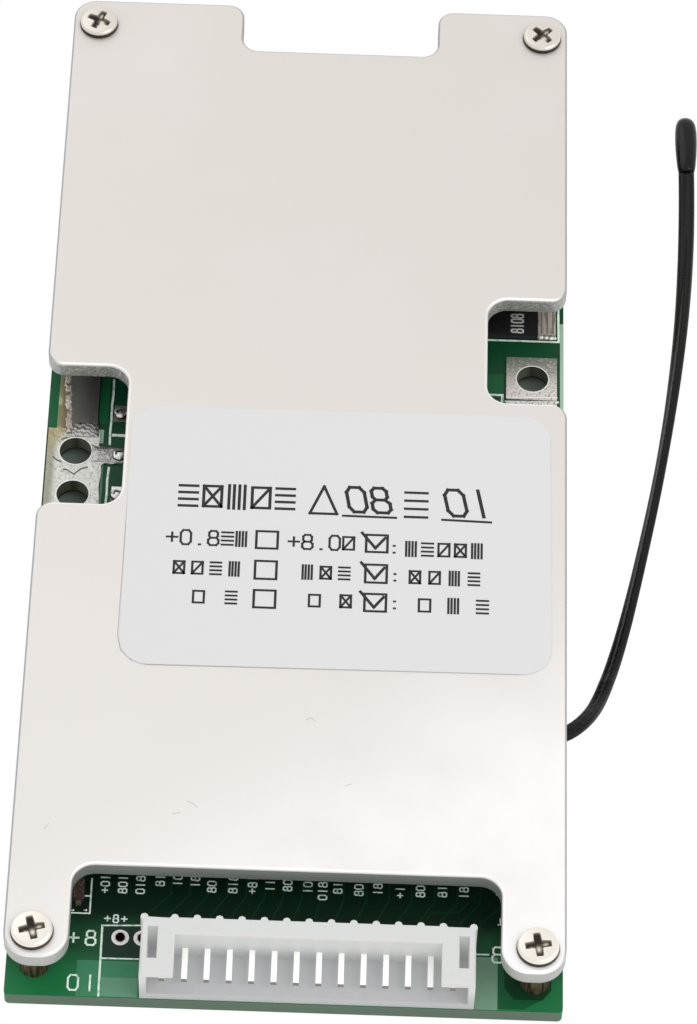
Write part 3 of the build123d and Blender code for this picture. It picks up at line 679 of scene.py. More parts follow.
# An edge is rounded if it is long, points outwards and isn't one of the pins' passages
def roundedHousing():
    shape = bmesh.new()
    shape.from_mesh(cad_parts["connector_housing"].data)
    bmesh.ops.remove_doubles(shape, verts=shape.verts[:], dist=1e-6)
    limit = math.radians(1)
    bmesh.ops.dissolve_limit(shape, angle_limit=limit, verts=shape.verts[:], edges=shape.edges[:])
    chosen = []
    for edge in shape.edges:
        places = [fromFrame(vertex.co) for vertex in edge.verts]
        low = min(place[2] for place in places)
        back = max(place[1] for place in places)
        if not edge.is_manifold or not edge.is_convex or edge.calc_length() < housing["shortest"]:
            continue
        if edge.calc_face_angle() < math.radians(housing["sharpest"]) or low < housing["lowest"]:
            continue
        if back > housing["rearFront"] and low < housing["rearTop"]:
            continue
        chosen.append(edge)
    bmesh.ops.bevel(
        shape, geom=chosen, offset=housing["radius"], offset_type="OFFSET", segments=3, profile=0.5,
        affect="EDGES", clamp_overlap=True,
    )
    mesh = bpy.data.meshes.new("housingRound")
    shape.to_mesh(mesh)
    shape.free()
    mesh.materials.append(materials["nylon"])
    piece = bpy.data.objects.new("housingRound", mesh)
    scene.collection.objects.link(piece)
    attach(piece, "root")
    print("housing edges rounded", len(chosen))
    return piece


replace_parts(roundedHousing(), "connector_housing")
print("plate, screws and housing made")

# Sensor lead: a flat twin lead that follows the route's spline and turns on its edge and back
lead = {
    "width": 2.0,
    "thickness": 1.15,
    "waist": 0.22,
    "waistWidth": 0.16,
    "roundness": 0.62,
    "sides": 40,
    "smoothing": 41,
    "dropFrom": -1.6,
    "clearance": 0.02,
    "turns": [(0.0, 5.0), (0.16, 35.0), (0.35, 62.0), (0.55, 70.0), (0.75, 48.0), (0.93, 12.0), (1.0, 4.0)],
    "route": [
        (25.8, 34.2, 2.4),
        (30.2, 34.2, 2.5),
        (33.8, 37.4, 1.4),
        (36.2, 43.5, -1.8),
        (39.5, 56.2, -2.7),
        (44.4, 82.0, -2.7),
        (47.1, 108.0, -2.7),
        (47.1, 122.8, -2.7),
    ],
}


# The points of the NURBS spline through a route, as a curve with no bevel gives them
def splinePoints(route):
    curve = bpy.data.curves.new("leadRoute", "CURVE")
    curve.dimensions = "3D"
    curve.resolution_u = 40
    spline = curve.splines.new("NURBS")
    spline.points.add(len(route) - 1)
    for point, place in zip(spline.points, toFrame(route)):
        point.co = (*place, 1.0)
    spline.order_u = 3
    spline.use_endpoint_u = True
    holder = bpy.data.objects.new("leadRoute", curve)
    scene.collection.objects.link(holder)
    bpy.context.view_layer.update()
    mesh = bpy.data.meshes.new_from_object(holder)
    found = np.empty(len(mesh.vertices) * 3)
    mesh.vertices.foreach_get("co", found)
    bpy.data.objects.remove(holder)
    bpy.data.curves.remove(curve)
    bpy.data.meshes.remove(mesh)
    return found.reshape(-1, 3)


# The outline of two wires side by side: for each angle, half the width times its cosine, and the
# thickness narrowed by a waist in the middle
def twinOutline(sides, width, thickness):
    angle = fullTurn(sides)
    wide = np.cos(angle) * width / 2
    waist = 1 - lead["waist"] * np.exp(-((wide / (lead["waistWidth"] * width)) ** 2))
    tall = np.sign(np.sin(angle)) * np.abs(np.sin(angle)) ** lead["roundness"] * thickness / 2 * waist
    return wide, tall


# A tube along points: each section lies square to the path, turned by its own angle
def sweepPoints(path, wide, tall, turns):
    along = np.gradient(path, axis=0)
    along /= np.linalg.norm(along, axis=1, keepdims=True)
    side = np.cross(along, [0.0, 0.0, 1.0])
    side /= np.linalg.norm(side, axis=1, keepdims=True)
    up = np.cross(side, along)
    cosine = np.cos(turns)[:, None]
    sine = np.sin(turns)[:, None]
    wideAxis = side * cosine + up * sine
    tallAxis = up * cosine - side * sine
    return path[:, None] + wide[None, :, None] * wideAxis[:, None] + tall[None, :, None] * tallAxis[:, None]


leadPath = fromFrame(splinePoints(lead["route"]))
steps = np.linalg.norm(np.diff(leadPath, axis=0), axis=1)
travelled = np.concatenate([[0.0], np.cumsum(steps)])
leadLength = travelled[-1]
turnShares, turnAngles = zip(*lead["turns"])
leadTurn = np.radians(np.interp(travelled / leadLength, turnShares, turnAngles))
kernel = np.hanning(lead["smoothing"])
leadTurn = np.pad(leadTurn, lead["smoothing"] // 2, mode="edge")
leadTurn = np.convolve(leadTurn, kernel / kernel.sum(), mode="valid")
leadLow = np.abs(np.sin(leadTurn)) * (lead["width"] - lead["thickness"]) / 2 + lead["thickness"] / 2
onFloor = np.clip(lead["dropFrom"] - leadPath[:, 2], 0, 1)
leadPath[:, 2] += onFloor * (floorZ + leadLow + lead["clearance"] - leadPath[:, 2])
leadWide, leadTall = twinOutline(lead["sides"], lead["width"], lead["thickness"])
leadPoints = sweepPoints(leadPath, leadWide, leadTall, leadTurn).reshape(-1, 3)
leadPiece = newPiece("leadTwin", leadPoints, tubeFaces(len(leadPath), lead["sides"]), "leadSkin")
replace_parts(leadPiece, "sensor_lead")
print("lead length", round(leadLength, 2))

# Sensor bead: a flattened dipped drop, pinched where the lead enters
bead = {
    "start": (47.1, 122.8),
    "length": 9.2,
    "width": 2.9,
    "thickness": 2.1,
    "within": 0.98,
    "lengthWithin": 0.995,
    "clearance": 0.02,
    "crowding": 1.35,
    "rings": 60,
    "sides": 48,
    "shape": [(0.0, 0.70), (0.06, 0.80), (0.16, 0.86), (0.3, 0.93), (0.5, 0.985), (0.68, 0.97), (0.8, 0.9),
              (0.88, 0.78), (0.94, 0.58), (0.98, 0.34), (1.0, 0.04)],
}


# Rings along the drop: half the width and thickness times the shape at each share of the length
def beadPoints():
    shares = 1 - (1 - np.linspace(0, 1, bead["rings"])) ** bead["crowding"]
    known, sizes = zip(*bead["shape"])
    size = np.interp(shares, known, sizes)
    size = np.convolve(np.pad(size, 2, mode="reflect", reflect_type="odd"), np.full(5, 0.2), mode="valid")
    size = np.maximum(size, 0.02)
    angle = fullTurn(bead["sides"])
    x = bead["start"][0] + np.outer(size, np.cos(angle)) * bead["width"] / 2 * bead["within"]
    y = bead["start"][1] + shares[:, None] * bead["length"] * bead["lengthWithin"]
    half = size[:, None] * (bead["thickness"] / 2 * bead["within"])
    return asPoints(x, y, floorZ + half + bead["clearance"] + half * np.sin(angle))


beadPiece = newPiece("beadDrop", beadPoints(), tubeFaces(bead["rings"], bead["sides"]), "beadResin")
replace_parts(beadPiece, "sensor_bead")
print("sensor made")


# Strokes of print: each polyline becomes a flat strip of a width, at a height, joint by joint
class Print:
    def __init__(self, height, width):
        self.height = height
        self.width = width
        self.points = []
        self.faces = []

    # A strip for each run, half a width longer at both ends, each a hair above the last
    def stroke(self, line, width=None):
        half = (width or self.width) / 2
        for start, end in zip(line, line[1:]):
            start = np.array(start, dtype=float)
            end = np.array(end, dtype=float)
            along = end - start
            along = along / max(np.linalg.norm(along), 1e-6) * half
            across = np.array([-along[1], along[0]])
            lift = self.height + 0.0008 * (len(self.faces) % 4)
            first = len(self.points)
            corners = [
                start - along - across, end + along - across, end + along + across, start - along + across,
            ]
            self.points += [(x, y, lift) for x, y in corners]
            self.faces.append([first, first + 1, first + 2, first + 3])

    # A filled four-sided patch
    def patch(self, corners):
        first = len(self.points)
        self.points += [(x, y, self.height) for x, y in corners]
        self.faces.append([first, first + 1, first + 2, first + 3])

    # A ring of short strips round a middle
    def ring(self, x, y, radius, sides):
        angles = [2 * math.pi * i / sides for i in range(sides + 1)]
        self.stroke([(x + radius * math.cos(a), y + radius * math.sin(a)) for a in angles])

    # Signs in cells one unit high, turned by quarter turns, from a place
    def signs(self, text, x, y, size, turn=0, space=0.85, slant=0.0, width=None, narrow=1.0):
        cosine, sine = math.cos(math.radians(turn)), math.sin(math.radians(turn))
        for index, sign in enumerate(text):
            for line in signShapes[sign]:
                moved = []
                for u, v in line:
                    u = (u * narrow + slant * v + index * space) * size
                    v = v * size
                    moved.append((x + u * cosine - v * sine, y + u * sine + v * cosine))
                self.stroke(moved, width)

    def piece(self, name, material, slot):
        return newPiece(name, self.points, self.faces, material, smooth=False)


# A printed piece of filled patches, and of lines of one width
def printPiece(name, material, slot, height, patches=(), lines=(), width=0.1):
    printer = Print(height, width)
    for corners in patches:
        printer.patch(corners)
    for line in lines:
        printer.stroke(line)
    printer.piece(name, material, slot)


# The four corners of an oblong
def oblong(left, front, right, back):
    return [(left, front), (right, front), (right, back), (left, back)]


# Lines of each sign, in a cell one unit high
signFrame = [(0, 0.06), (0.64, 0.06), (0.64, 0.94), (0, 0.94), (0, 0.06)]
signShapes = {
    "0": [
        [(0.14, 0), (0.46, 0), (0.6, 0.2), (0.6, 0.8), (0.46, 1), (0.14, 1), (0, 0.8), (0, 0.2), (0.14, 0)],
    ],
    "1": [[(0.3, 0), (0.3, 1)]],
    "8": [
        [(0.12, 0), (0.48, 0), (0.6, 0.14), (0.6, 0.38), (0.46, 0.52), (0.14, 0.52), (0, 0.38), (0, 0.14),
         (0.12, 0)],
        [(0.14, 0.52), (0.05, 0.64), (0.05, 0.88), (0.16, 1), (0.44, 1), (0.55, 0.88), (0.55, 0.64),
         (0.46, 0.52)],
    ],
    "+": [[(0.0, 0.5), (0.6, 0.5)], [(0.3, 0.2), (0.3, 0.8)]],
    ".": [[(0.28, 0.02), (0.34, 0.02)]],
    ":": [[(0.28, 0.2), (0.32, 0.2)], [(0.28, 0.68), (0.32, 0.68)]],
    "box": [[(0.02, 0.05), (0.68, 0.05), (0.68, 0.9), (0.02, 0.9), (0.02, 0.05)]],
    "bars": [[(0, y), (0.64, y)] for y in (0.06, 0.35, 0.64, 0.93)],
    "posts": [[(x, 0), (x, 1)] for x in (0.04, 0.22, 0.41, 0.6)],
    "slash": [signFrame, [(0, 0.06), (0.64, 0.94)]],
    "crossed": [signFrame, [(0, 0.06), (0.64, 0.94)], [(0, 0.94), (0.64, 0.06)]],
}

# Label print: plain shapes, numbers, lines and tick boxes, in rows that turn with the label
labelPrint = Print(plateTopZ + 0.135, 0.2)


# Signs spread evenly from one place to another along a row
def signRow(printer, names, x0, x1, y0, y1, width):
    pitch = (x1 - x0) / len(names)
    for index, name in enumerate(names):
        printer.signs([name], x0 + index * pitch, y0, y1 - y0, space=0, width=width)


labelRows = [
    (["bars", "crossed", "posts", "slash", "bars"], -14.5, -0.2, 61.6, 64.9, 0.36),
    (["+", "0", ".", "8", "bars", "posts"], -15.7, -6.0, 56.3, 58.3, 0.27),
    (["+", "8", ".", "0", "slash"], -1.4, 6.6, 56.2, 58.2, 0.27),
    ([":", "posts", "bars", "slash", "crossed", "posts"], 10.4, 22.0, 55.7, 57.7, 0.27),
    (["crossed", "slash", "bars", "posts"], -14.7, -6.1, 52.1, 54.0, 0.27),
    (["posts", "crossed", "bars"], 0.3, 6.8, 52.0, 53.9, 0.27),
    ([":", "crossed", "slash", "posts", "bars"], 10.6, 22.1, 51.8, 53.7, 0.27),
    (["box", "bars"], -12.3, -4.6, 48.1, 50.0, 0.27),
    (["box", "crossed"], 1.2, 8.6, 48.1, 50.0, 0.27),
    ([":", "box", "posts", "bars"], 10.6, 24.2, 47.9, 49.9, 0.27),
]
for row in labelRows:
    signRow(labelPrint, *row)
labelPrint.stroke([(0.95, 61.3), (2.55, 65.2), (4.15, 61.3), (0.95, 61.3)], 0.34)
labelPrint.signs("08", 5.7, 61.7, 3.5, space=0.8, slant=-0.18, width=0.42)
labelPrint.stroke([(4.9, 61.1), (11.1, 61.05)], 0.3)
signRow(labelPrint, ["bars"], 12.2, 16.6, 61.0, 65.0, 0.34)
labelPrint.signs("01", 17.4, 61.6, 3.7, space=0.8, slant=-0.2, width=0.42)
labelPrint.stroke([(16.6, 61.0), (22.3, 60.85)], 0.3)
for y0, y1 in [(56.1, 58.5), (51.8, 54.3), (47.8, 50.2)]:
    for x0 in (-5.2, 7.7):
        labelPrint.stroke([(x0, y0), (x0 + 2.5, y0), (x0 + 2.5, y1), (x0, y1), (x0, y0)], 0.3)
    labelPrint.stroke([(7.2, y1 + 0.25), (8.8, y0 + 0.55), (9.9, y1 - 0.4)], 0.36)
labelPrint.piece("labelPrint", "labelInk", "label")

# Label edge: a hair of shadow at its left, front and right
printPiece("labelEdge", "labelEdge", "label", plateTopZ + 0.01, width=0.09, lines=[
    [(-20.55, 71.0), (-20.75, 43.4), (-20.3, 41.4), (-19.0, 40.05), (-17.2, 39.5), (25.8, 39.85),
     (27.6, 40.25), (28.9, 41.6), (29.4, 43.4)],
])

# Marks on the plate: painted shade of faint dents near its front, drawn as lines, and a hair of shadow round
# each screw head
printPiece("plateMarks", "plateMark", "plate", plateTopZ + 0.008, width=0.1, lines=[
    [(1.44, 32.73), (1.86, 33.08), (2.5, 32.6)],
    [(-11.63, 21.4), (-10.91, 21.1), (-10.47, 20.63)],
    [(-13.25, 19.7), (-12.41, 19.9)],
    [(-27.6, 17.2), (-27.1, 17.9)],
    [(6.3, 24.2), (6.8, 24.4)],
])
shade = Print(plateTopZ + 0.012, 0.09)
for x, y, _ in screws["places"]:
    shade.ring(x, y, screws["radius"] + 0.06, 48)
shade.piece("screwShade", "screwShade", "plate")

# Print on the board: lines, rings and numbers
silk = Print(0.03, 0.19)
silk.stroke([(-20.7, 0.25), (-20.74, 9.15)], 0.24)
silk.stroke([(-20.78, 9.2), (-15.6, 9.4)])
silk.stroke([(-20.62, 5.0), (-15.6, 5.05)])
silk.stroke([(21.6, 7.1), (22.9, 7.12)])
silk.signs("+", -24.45, 6.6, 1.85, width=0.24)
silk.signs("8", -22.5, 6.65, 1.8, width=0.24)
silk.signs("01", -24.2, 0.85, 1.9, space=1.0, width=0.22)
silk.signs("+8+", -20.5, 9.65, 0.95, space=1.0, width=0.17)
silk.signs("8", 23.35, 6.15, 1.95, width=0.22)
silk.stroke([(23.8, 14.9), (24.0, 14.9)], 0.24)
silk.stroke([(24.0, 11.0), (24.25, 11.0), (24.2, 11.8)])
silk.stroke([(-22.25, 10.7), (-22.25, 15.2)])
silk.stroke([(-24.6, 10.7), (-22.25, 10.7)])
silk.stroke([(-22.85, 12.95), (-22.3, 12.95)])
codes = [
    ("+01", -20.7, 13.5), ("801", -18.7, 13.5), ("018", -16.7, 13.5), ("81", -14.5, 14.6),
    ("10", -12.5, 14.7), ("18", -10.5, 14.6), ("80", -8.6, 14.0), ("818", -6.2, 14.0),
    ("+81", -4.0, 14.0), ("11", -2.0, 14.4), ("80", 0.0, 14.5), ("108", 2.3, 14.3),
    ("018", 4.0, 13.5), ("81", 5.7, 14.4), ("80", 8.1, 14.2), ("18", 10.25, 14.4),
    ("+11", 12.8, 14.1), ("80", 15.1, 14.3), ("81", 17.6, 14.4), ("18", 20.05, 14.3),
]
for code, x, y in codes:
    silk.signs(code, x + 0.45, y, 0.92, turn=90, space=0.9, width=0.17)
silk.stroke([
    (-23.6, 85.2), (-23.55, 83.0), (-23.64, 81.4), (-23.6, 79.2), (-23.66, 77.4), (-23.6, 75.6),
], 0.27)
silk.stroke([(-23.52, 72.1), (-23.62, 70.2), (-23.58, 68.4), (-23.66, 66.0)], 0.27)
silk.stroke([(-23.2, 76.95), (-21.2, 76.9)], 0.4)
silk.stroke([(21.5, 93.2), (30.72, 93.22), (30.66, 98.5)], 0.26)
silk.stroke([(22.2, 84.9), (23.85, 84.9), (23.8, 83.4)], 0.3)
silk.stroke([(24.3, 83.95), (30.6, 84.1)], 0.3)
silk.piece("boardPrint", "boardSilk", "board")
print("print made")

# Sheets on the board: copper under the mask, a little lighter than the board, then its other tones, with
# painted light on a pale patch of pour at the front, and painted half shade and painted shade round the
# right foot; each has a height and its patches
boardSheets = [
    ("boardCopper", "boardPour", 0.012, [oblong(-23.3, 0.1, -16.3, 4.7)]),
    ("boardMargin", "boardMargin", 0.012, [
        oblong(-31.2, 77.8, -30.1, 86.0), oblong(-25.1, 78.6, -24.0, 86.0), oblong(21.8, 84.9, 24.0, 88.0),
    ]),
    ("boardDim", "boardDim", 0.013, [
        oblong(-20.55, 5.15, -19.35, 9.15), oblong(-17.95, 5.15, -16.85, 9.15),
        oblong(-15.45, 5.15, -15.2, 9.15), oblong(-19.35, 5.15, -17.95, 7.1),
        oblong(-19.35, 8.36, -17.95, 9.15), oblong(-16.85, 5.15, -15.45, 7.1),
        oblong(-16.85, 8.36, -15.45, 9.15),
    ]),
    ("boardPale", "boardPalePour", 0.014, [
        oblong(-20.5, 0.2, -16.4, 2.6), oblong(-24.45, 66.0, -24.2, 72.6),
    ]),
    ("boardStrip", "boardStrip", 0.014, [
        oblong(30.88, 76.0, 31.27, 96.0), oblong(-24.98, 75.7, -24.4, 77.7),
    ]),
    ("boardBeside", "boardBeside", 0.014, [oblong(21.35, 0.1, 23.95, 6.8)]),
    ("boardNear", "boardNear", 0.01, [
        [(23.95, 0.3), (26.9, 0.3), (26.9, 7.0), (23.95, 7.6)],
        [(26.9, 0.3), (29.2, 1.7), (29.2, 4.0), (26.9, 7.0)],
    ]),
    ("boardShaded", "boardShaded", 0.016, [
        [(24.7, 3.0), (25.8, 1.5), (25.8, 7.0), (24.7, 7.3)],
        [(25.8, 1.5), (29.0, 1.5), (29.0, 6.0), (25.8, 7.0)],
        [(29.0, 1.5), (30.0, 2.8), (30.0, 4.5), (29.0, 6.0)],
    ]),
]
for name, material, height, patches in boardSheets:
    printPiece(name, material, "board", height, patches)

# Traces: a fan from the pins, each further aslant by its distance from the middle one, and two more
fan = {"count": 17, "left": -15.6, "pitch": 2.35, "lean": 0.64, "spread": 0.224}
traces = Print(0.01, 0.17)
for index in range(fan["count"]):
    x = fan["left"] + index * fan["pitch"]
    aslant = x + fan["lean"] + fan["spread"] * abs(index - fan["count"] // 2)
    traces.stroke([(x, 9.3), (x, 11.0), (aslant, 13.6), (aslant, 16.5)])
traces.stroke([(15.84, 11.33), (16.39, 12.32), (19.51, 12.44), (22.31, 15.81)])
traces.stroke([(30.72, 77.0), (30.72, 93.0)], 0.2)
traces.piece("boardTraces", "boardTrace", "board")
printPiece("bareStrip", "bareResin", "board", 0.02, [
    [(-30.15, 77.5), (-28.9, 77.5), (-28.9, 86.5), (-30.1, 86.5)],
])


# Domes of solder: each falls with the square root of one less the square of its radius, with ripples,
# and carries a shade value for painted shade at its foot and in a crescent on one side. A place is
# (right, behind, foot, width, depth, height)
def domes(name, places, material):
    rings, sides = 14, 28
    share = np.linspace(0.02, 1, rings)[:, None]
    angle = fullTurn(sides)[None]
    level = np.sqrt(np.clip(1 - share ** 2, 0, 1))
    points, faces = [], []
    for index, (x, y, foot, wide, deep, high) in enumerate(places):
        ripple = 1 + 0.08 * np.sin(3 * angle + index) + 0.05 * np.sin(5 * angle + 2 * index)
        points.append(asPoints(
            x + wide * share * ripple * np.cos(angle), y + deep * share * ripple * np.sin(angle),
            foot + high * level,
        ))
        start = index * rings * sides
        faces += (ringFaces(rings, sides)[:, ::-1] + start).tolist()
        faces.append(list(range(start, start + sides)))
    piece = newPiece(name, np.concatenate(points), faces, material)
    crescent = ease(np.sin(angle - 0.7), -0.1, 0.6) * ease(share, 0.2, 0.4) * (1 - ease(share, 0.6, 0.72))
    shade = np.clip(ease(share, 0.8, 0.92) + crescent, 0, 1)
    setValues(piece, "shade", np.tile(shade.ravel(), len(places)))


# Left terminal: a sheet of solder with a ragged edge, a neck to the middle leg, and its two holes
terminal = {
    "height": 0.25,
    "foot": 0.002,
    "outline": [
        (-31.1, 64.4), (-24.55, 64.4), (-24.45, 67.0), (-24.6, 69.2), (-24.4, 71.2), (-24.5, 72.3),
        (-24.0, 72.7), (-23.2, 72.55), (-22.6, 72.75), (-21.9, 72.7), (-21.7, 73.3), (-21.7, 74.4),
        (-21.95, 74.75), (-22.7, 74.7), (-23.3, 74.85), (-23.9, 74.65), (-24.5, 74.95), (-24.9, 75.1),
        (-24.8, 76.2), (-24.95, 77.6), (-31.1, 77.6),
    ],
    "holes": [(-27.65, 67.97), (-27.65, 74.27)],
    "holeRadius": 1.94,
    "holeSides": 48,
}


# A flat top within the outline and round the holes, and a wall down to the board round all of them
def terminalPiece():
    holes = [circlePoints(x, y, terminal["holeRadius"], terminal["holeSides"]) for x, y in terminal["holes"]]
    loops = [np.array(terminal["outline"]), *holes]
    flat = np.concatenate(loops)
    count = len(flat)
    points = np.concatenate([asPoints(*flat.T, terminal["height"]), asPoints(*flat.T, terminal["foot"])])
    faces = sheetFaces(loops[0], holes, list(range(count)), 1)
    start = 0
    for index, loop in enumerate(loops):
        for step in range(len(loop)):
            here = start + step
            after = start + (step + 1) % len(loop)
            wall = [here, after, after + count, here + count]
            faces.append(wall[::-1] if index == 0 else wall)
        start += len(loop)
    return newPiece("terminalSheet", points, faces, "solder", smooth=False)


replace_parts(terminalPiece(), "left_terminal")
printPiece("tipPads", "tipPad", "solder", 0.04, [
    [(-23.35, 78.95), (-21.2, 78.95), (-21.2, 81.35), (-23.3, 81.35)],
    [(-23.1, 67.2), (-21.2, 67.2), (-21.2, 68.8), (-23.1, 68.8)],
])
domes("solderTips", [
    (-22.5, 79.95, 0.4, 0.84, 0.8, 0.3),
    (-22.3, 73.7, 0.5, 0.95, 0.8, 0.28),
    (-22.3, 67.95, 0.4, 0.84, 0.7, 0.3),
    (-24.2, 11.05, 0.02, 0.24, 0.22, 0.2),
    (-22.75, 11.1, 0.02, 0.24, 0.22, 0.2),
], "solderBlob")
domes("shuntBeads", [
    (28.5, 93.15, 0.9, 0.28, 0.2, 0.25),
    (29.15, 93.12, 0.9, 0.26, 0.2, 0.25),
    (29.75, 93.1, 0.85, 0.3, 0.22, 0.3),
    (30.2, 93.12, 0.85, 0.2, 0.18, 0.25),
], "solderRim")


# A lumpy sheet of solder between four limits: its height is a foot, a swell that dies at its sides,
# and waves of two lengths that run aslant; painted shade lies in the waves' troughs, and it is also
# darker towards its back share
def lumpySheet(name, limits, foot, swell, wave, slant, pitch, material, shading, fade, lean=0.0, ragged=0.0):
    left, right, front, back = limits
    columns, rows = 90, 80
    across, along = np.meshgrid(np.linspace(0, 1, columns), np.linspace(0, 1, rows))
    x = left + (right - left) * across + lean * (back - front) * along
    y = front + (back - front) * along
    x += ragged * (np.sin(2.3 * y) + 0.7 * np.sin(6.1 * y + 1.0) + 0.5 * np.sin(11.3 * y))
    edge = np.clip(np.minimum.reduce([across, 1 - across, along, 1 - along]) / 0.2, 0, 1) ** 0.5
    bend = 0.16 * np.sin(2.9 * x + 1.3 * y) + 0.1 * np.sin(7.3 * x - 2.1 * y)
    waves = 0.6 * np.sin(2 * math.pi * (y + slant * x + bend) / pitch)
    waves += 0.4 * np.sin(2 * math.pi * (0.8 * y - 0.7 * slant * x + 2 * bend) / (0.57 * pitch) + 1.1)
    z = foot + edge * (swell + wave * waves)
    row, column = np.meshgrid(np.arange(rows - 1), np.arange(columns - 1), indexing="ij")
    here = (row * columns + column).ravel()
    faces = np.stack([here, here + 1, here + columns + 1, here + columns], axis=1).tolist()
    piece = newPiece(name, asPoints(x, y, z), faces, material)
    shade = shading * ease(-waves, -0.25, 0.7) + fade * ease(along, 0.35, 1.0)
    setValues(piece, "shade", np.clip(shade, 0, 1).ravel())


lumpySheet(
    "rippledEnd", (-28.35, -24.98, 76.35, 78.7), 0.24, 0.3, 0.05, 0.35, 0.62, "solderRipple", 0.75, 0.9,
)
lumpySheet(
    "solderBridge", (-25.7, -21.75, 72.75, 74.95), 0.22, 0.26, 0.04, -0.25, 0.9, "solderRipple", 0.3, 0.35,
)
lumpySheet(
    "barSeam", (-28.95, -28.15, 76.9, 86.6), 0.4, 0.22, 0.05, 0.4, 1.3, "solderSeam", 0.2, 0.0,
    lean=-0.07, ragged=0.07,
)

# Lines in the solder: painted shade in creases, a painted highlight round three terminal holes, and a
# painted highlight along an edge
printPiece("solderCreaseShade", "solderLine", "solder", 0.262, width=0.16, lines=[
    [(-28.95, 71.5), (-28.6, 71.5), (-27.65, 70.85), (-26.96, 71.6), (-26.1, 71.95)],
    [(-25.75, 75.2), (-24.9, 74.9), (-24.3, 75.1)],
    [(-30.3, 73.3), (-29.9, 72.9), (-29.3, 72.6)],
    [(-29.4, 75.9), (-28.9, 76.2), (-28.5, 76.05)],
])
rimHighlights = Print(0.27, 0.12)
for x, y in [*terminal["holes"], (27.5, 87.27)]:
    rimHighlights.ring(x, y, 2.0, 40)
rimHighlights.stroke([(24.4, 84.45), (30.5, 84.6)], 0.14)
rimHighlights.piece("holeRimHighlights", "solderRim", "solder")

# Linings of the terminal holes, and of the spare holes with their tinned rings
barrels = {
    "radius": 1.93,
    "places": [*terminal["holes"], (27.5, 80.87), (27.5, 87.27)],
    "spareRadius": 0.53,
    "sparePlaces": [(-16.15, 7.73), (-18.65, 7.73)],
    "low": -2.0,
    "high": 0.24,
    "sides": 48,
    "rows": 44,
    "arcHeights": (0.3, 0.44, 0.58, 0.72),
    "arcWidth": 0.032,
}


# A tube open at both ends whose inside faces the middle, with painted shade in a thin band at its foot and
# its top, in a faint dark arc at each of the listed heights, and in a streak down its far side
def liningPiece(name, places, radius, material):
    rows, sides = barrels["rows"], barrels["sides"]
    level = np.linspace(barrels["low"], barrels["high"], rows)[:, None]
    points, faces = [], []
    for index, (x, y) in enumerate(places):
        points.append(asPoints(*circlePoints(x, y, radius, sides).T, level))
        faces += (ringFaces(rows, sides)[:, ::-1] + index * rows * sides).tolist()
    piece = newPiece(name, np.concatenate(points), faces, material)
    share = np.linspace(0, 1, rows)[:, None]
    band = np.maximum(1 - ease(share, 0.05, 0.3), ease(share, 0.75, 0.95) * 0.8)
    for place in barrels["arcHeights"]:
        band = np.maximum(band, 0.9 * np.exp(-(((share - place) / barrels["arcWidth"]) ** 2)))
    middle = 0.7 * np.exp(-(((fullTurn(sides) - math.pi / 2) / 0.3) ** 2))
    setValues(piece, "shade", np.tile(np.maximum(band, middle).ravel(), len(places)))


liningPiece("holeLinings", barrels["places"], barrels["radius"], "barrel")
liningPiece("spareLinings", barrels["sparePlaces"], barrels["spareRadius"], "barrelBrown")
rings = Print(0.03, 0.42)
for x, y in barrels["sparePlaces"]:
    rings.ring(x, y, 0.76, 32)
rings.piece("spareRings", "solderRim", "solder")

# Shunt: painted shade of the ribs along its metal end, as darker strips, and plain signs on its body
printPiece("shuntRibs", "shuntRib", "tin", 1.108, width=0.2, lines=[
    [(x, 93.7), (x - 0.05, 98.4)] for x in (28.55, 29.25, 29.95)
])
code = Print(1.36, 0.16)
code.signs("8108", 26.25, 93.5, 1.4, turn=90, space=0.54, width=0.2, narrow=0.62)
code.piece("shuntCode", "shuntCode", "black_resin")
print("board dressed")

# Floor, lights and background
studio = {
    "worldPower": 0.86,
    "worldColour": (255, 255, 255),
    "floorColour": (255, 255, 255),
    # painted shade on the floor beneath the board
    "underShade": (138, 148, 138),
    "under": (0.0305, 0.0675),
    "floorSize": 6.0,
    "lights": [("key", (0.6, -0.35, 0.85), 0.6, 3.0), ("fill", (-0.5, 0.6, 0.8), 0.8, 1.2)],
}
world = bpy.data.worlds.new("studio")
world.use_nodes = True
background = world.node_tree.nodes["Background"]
background.inputs["Color"].default_value = colour(*studio["worldColour"])
background.inputs["Strength"].default_value = studio["worldPower"]
scene.world = world


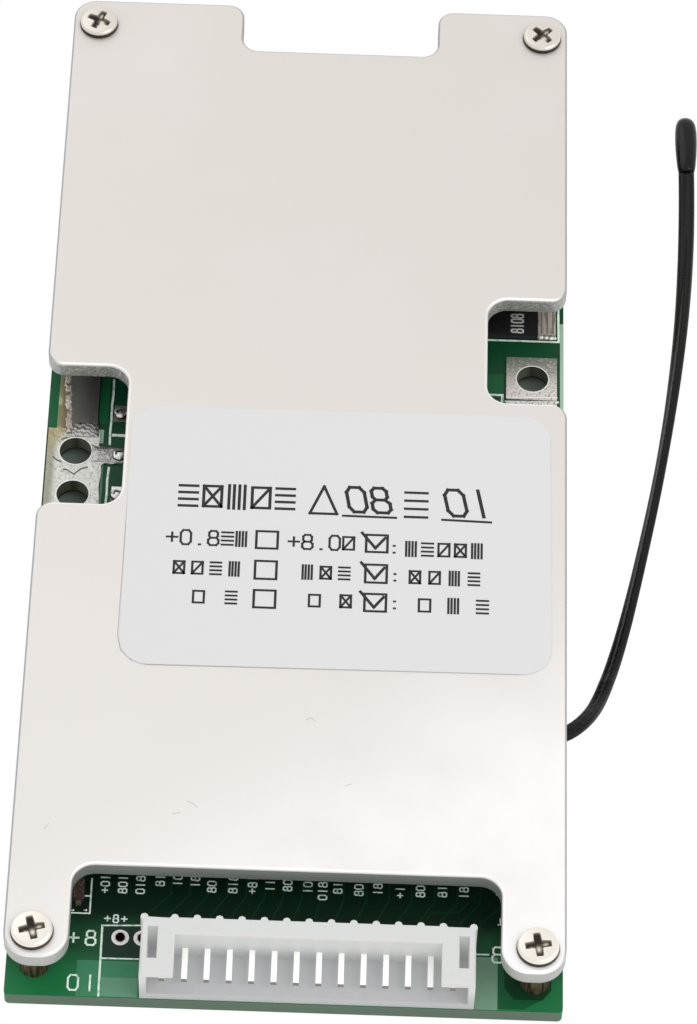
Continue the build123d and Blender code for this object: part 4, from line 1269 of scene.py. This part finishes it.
# An area light at a place, turned towards the object's middle
def addLight(name, place, size, power):
    light = bpy.data.lights.new(name, "AREA")
    light.size = size
    light.energy = power
    holder = bpy.data.objects.new(name, light)
    holder.location = place
    holder.rotation_euler = (Vector((0, 0, 0)) - Vector(place)).to_track_quat("-Z", "Y").to_euler()
    scene.collection.objects.link(holder)


for light in studio["lights"]:
    addLight(*light)
half = studio["floorSize"] / 2
corners = [(x, y, 0) for x, y in oblong(-half, -half, half, half)]
floorMesh = bpy.data.meshes.new("floor")
floorMesh.from_pydata(corners, [], [[0, 1, 2, 3]])
newMaterial("floorWhite", studio["floorColour"], 0.9, specular=0.0)


# The camera sees plain white floor, but under the board the floor takes a painted shade colour, seen through
# the holes
def whitenFloor(tree):
    shader = tree.nodes["Principled BSDF"]
    place = addNode(tree, "ShaderNodeTexCoord")
    size = addNode(tree, "ShaderNodeVectorMath", operation="ABSOLUTE")
    parts = addNode(tree, "ShaderNodeSeparateXYZ")
    outside = addNode(tree, "ShaderNodeMath", operation="MAXIMUM")
    links = [(place, "Object", size, 0), (size, 0, parts, 0)]
    for axis, limit in enumerate(studio["under"]):
        past = addNode(tree, "ShaderNodeMath", operation="GREATER_THAN")
        past.inputs[1].default_value = limit
        links += [(parts, axis, past, 0), (past, 0, outside, axis)]
    mix = addNode(tree, "ShaderNodeMix", data_type="RGBA")
    mix.inputs[6].default_value = colour(*studio["underShade"])
    mix.inputs[7].default_value = colour(*studio["floorColour"])
    light = addNode(tree, "ShaderNodeLightPath")
    seen = addNode(tree, "ShaderNodeMath", operation="MULTIPLY")
    glow = addNode(tree, "ShaderNodeEmission")
    glow.inputs["Color"].default_value = colour(*studio["floorColour"])
    blend = addNode(tree, "ShaderNodeMixShader")
    linkNodes(tree, links + [
        (outside, 0, mix, 0),
        (mix, 2, shader, "Base Color"),
        (light, "Is Camera Ray", seen, 0),
        (outside, 0, seen, 1),
        (seen, 0, blend, 0),
        (shader, 0, blend, 1),
        (glow, 0, blend, 2),
        (blend, 0, tree.nodes["Material Output"], "Surface"),
    ])


whitenFloor(materials["floorWhite"].node_tree)
floorMesh.materials.append(materials["floorWhite"])
floor = bpy.data.objects.new("floor", floorMesh)
scene.collection.objects.link(floor)
print("studio made")
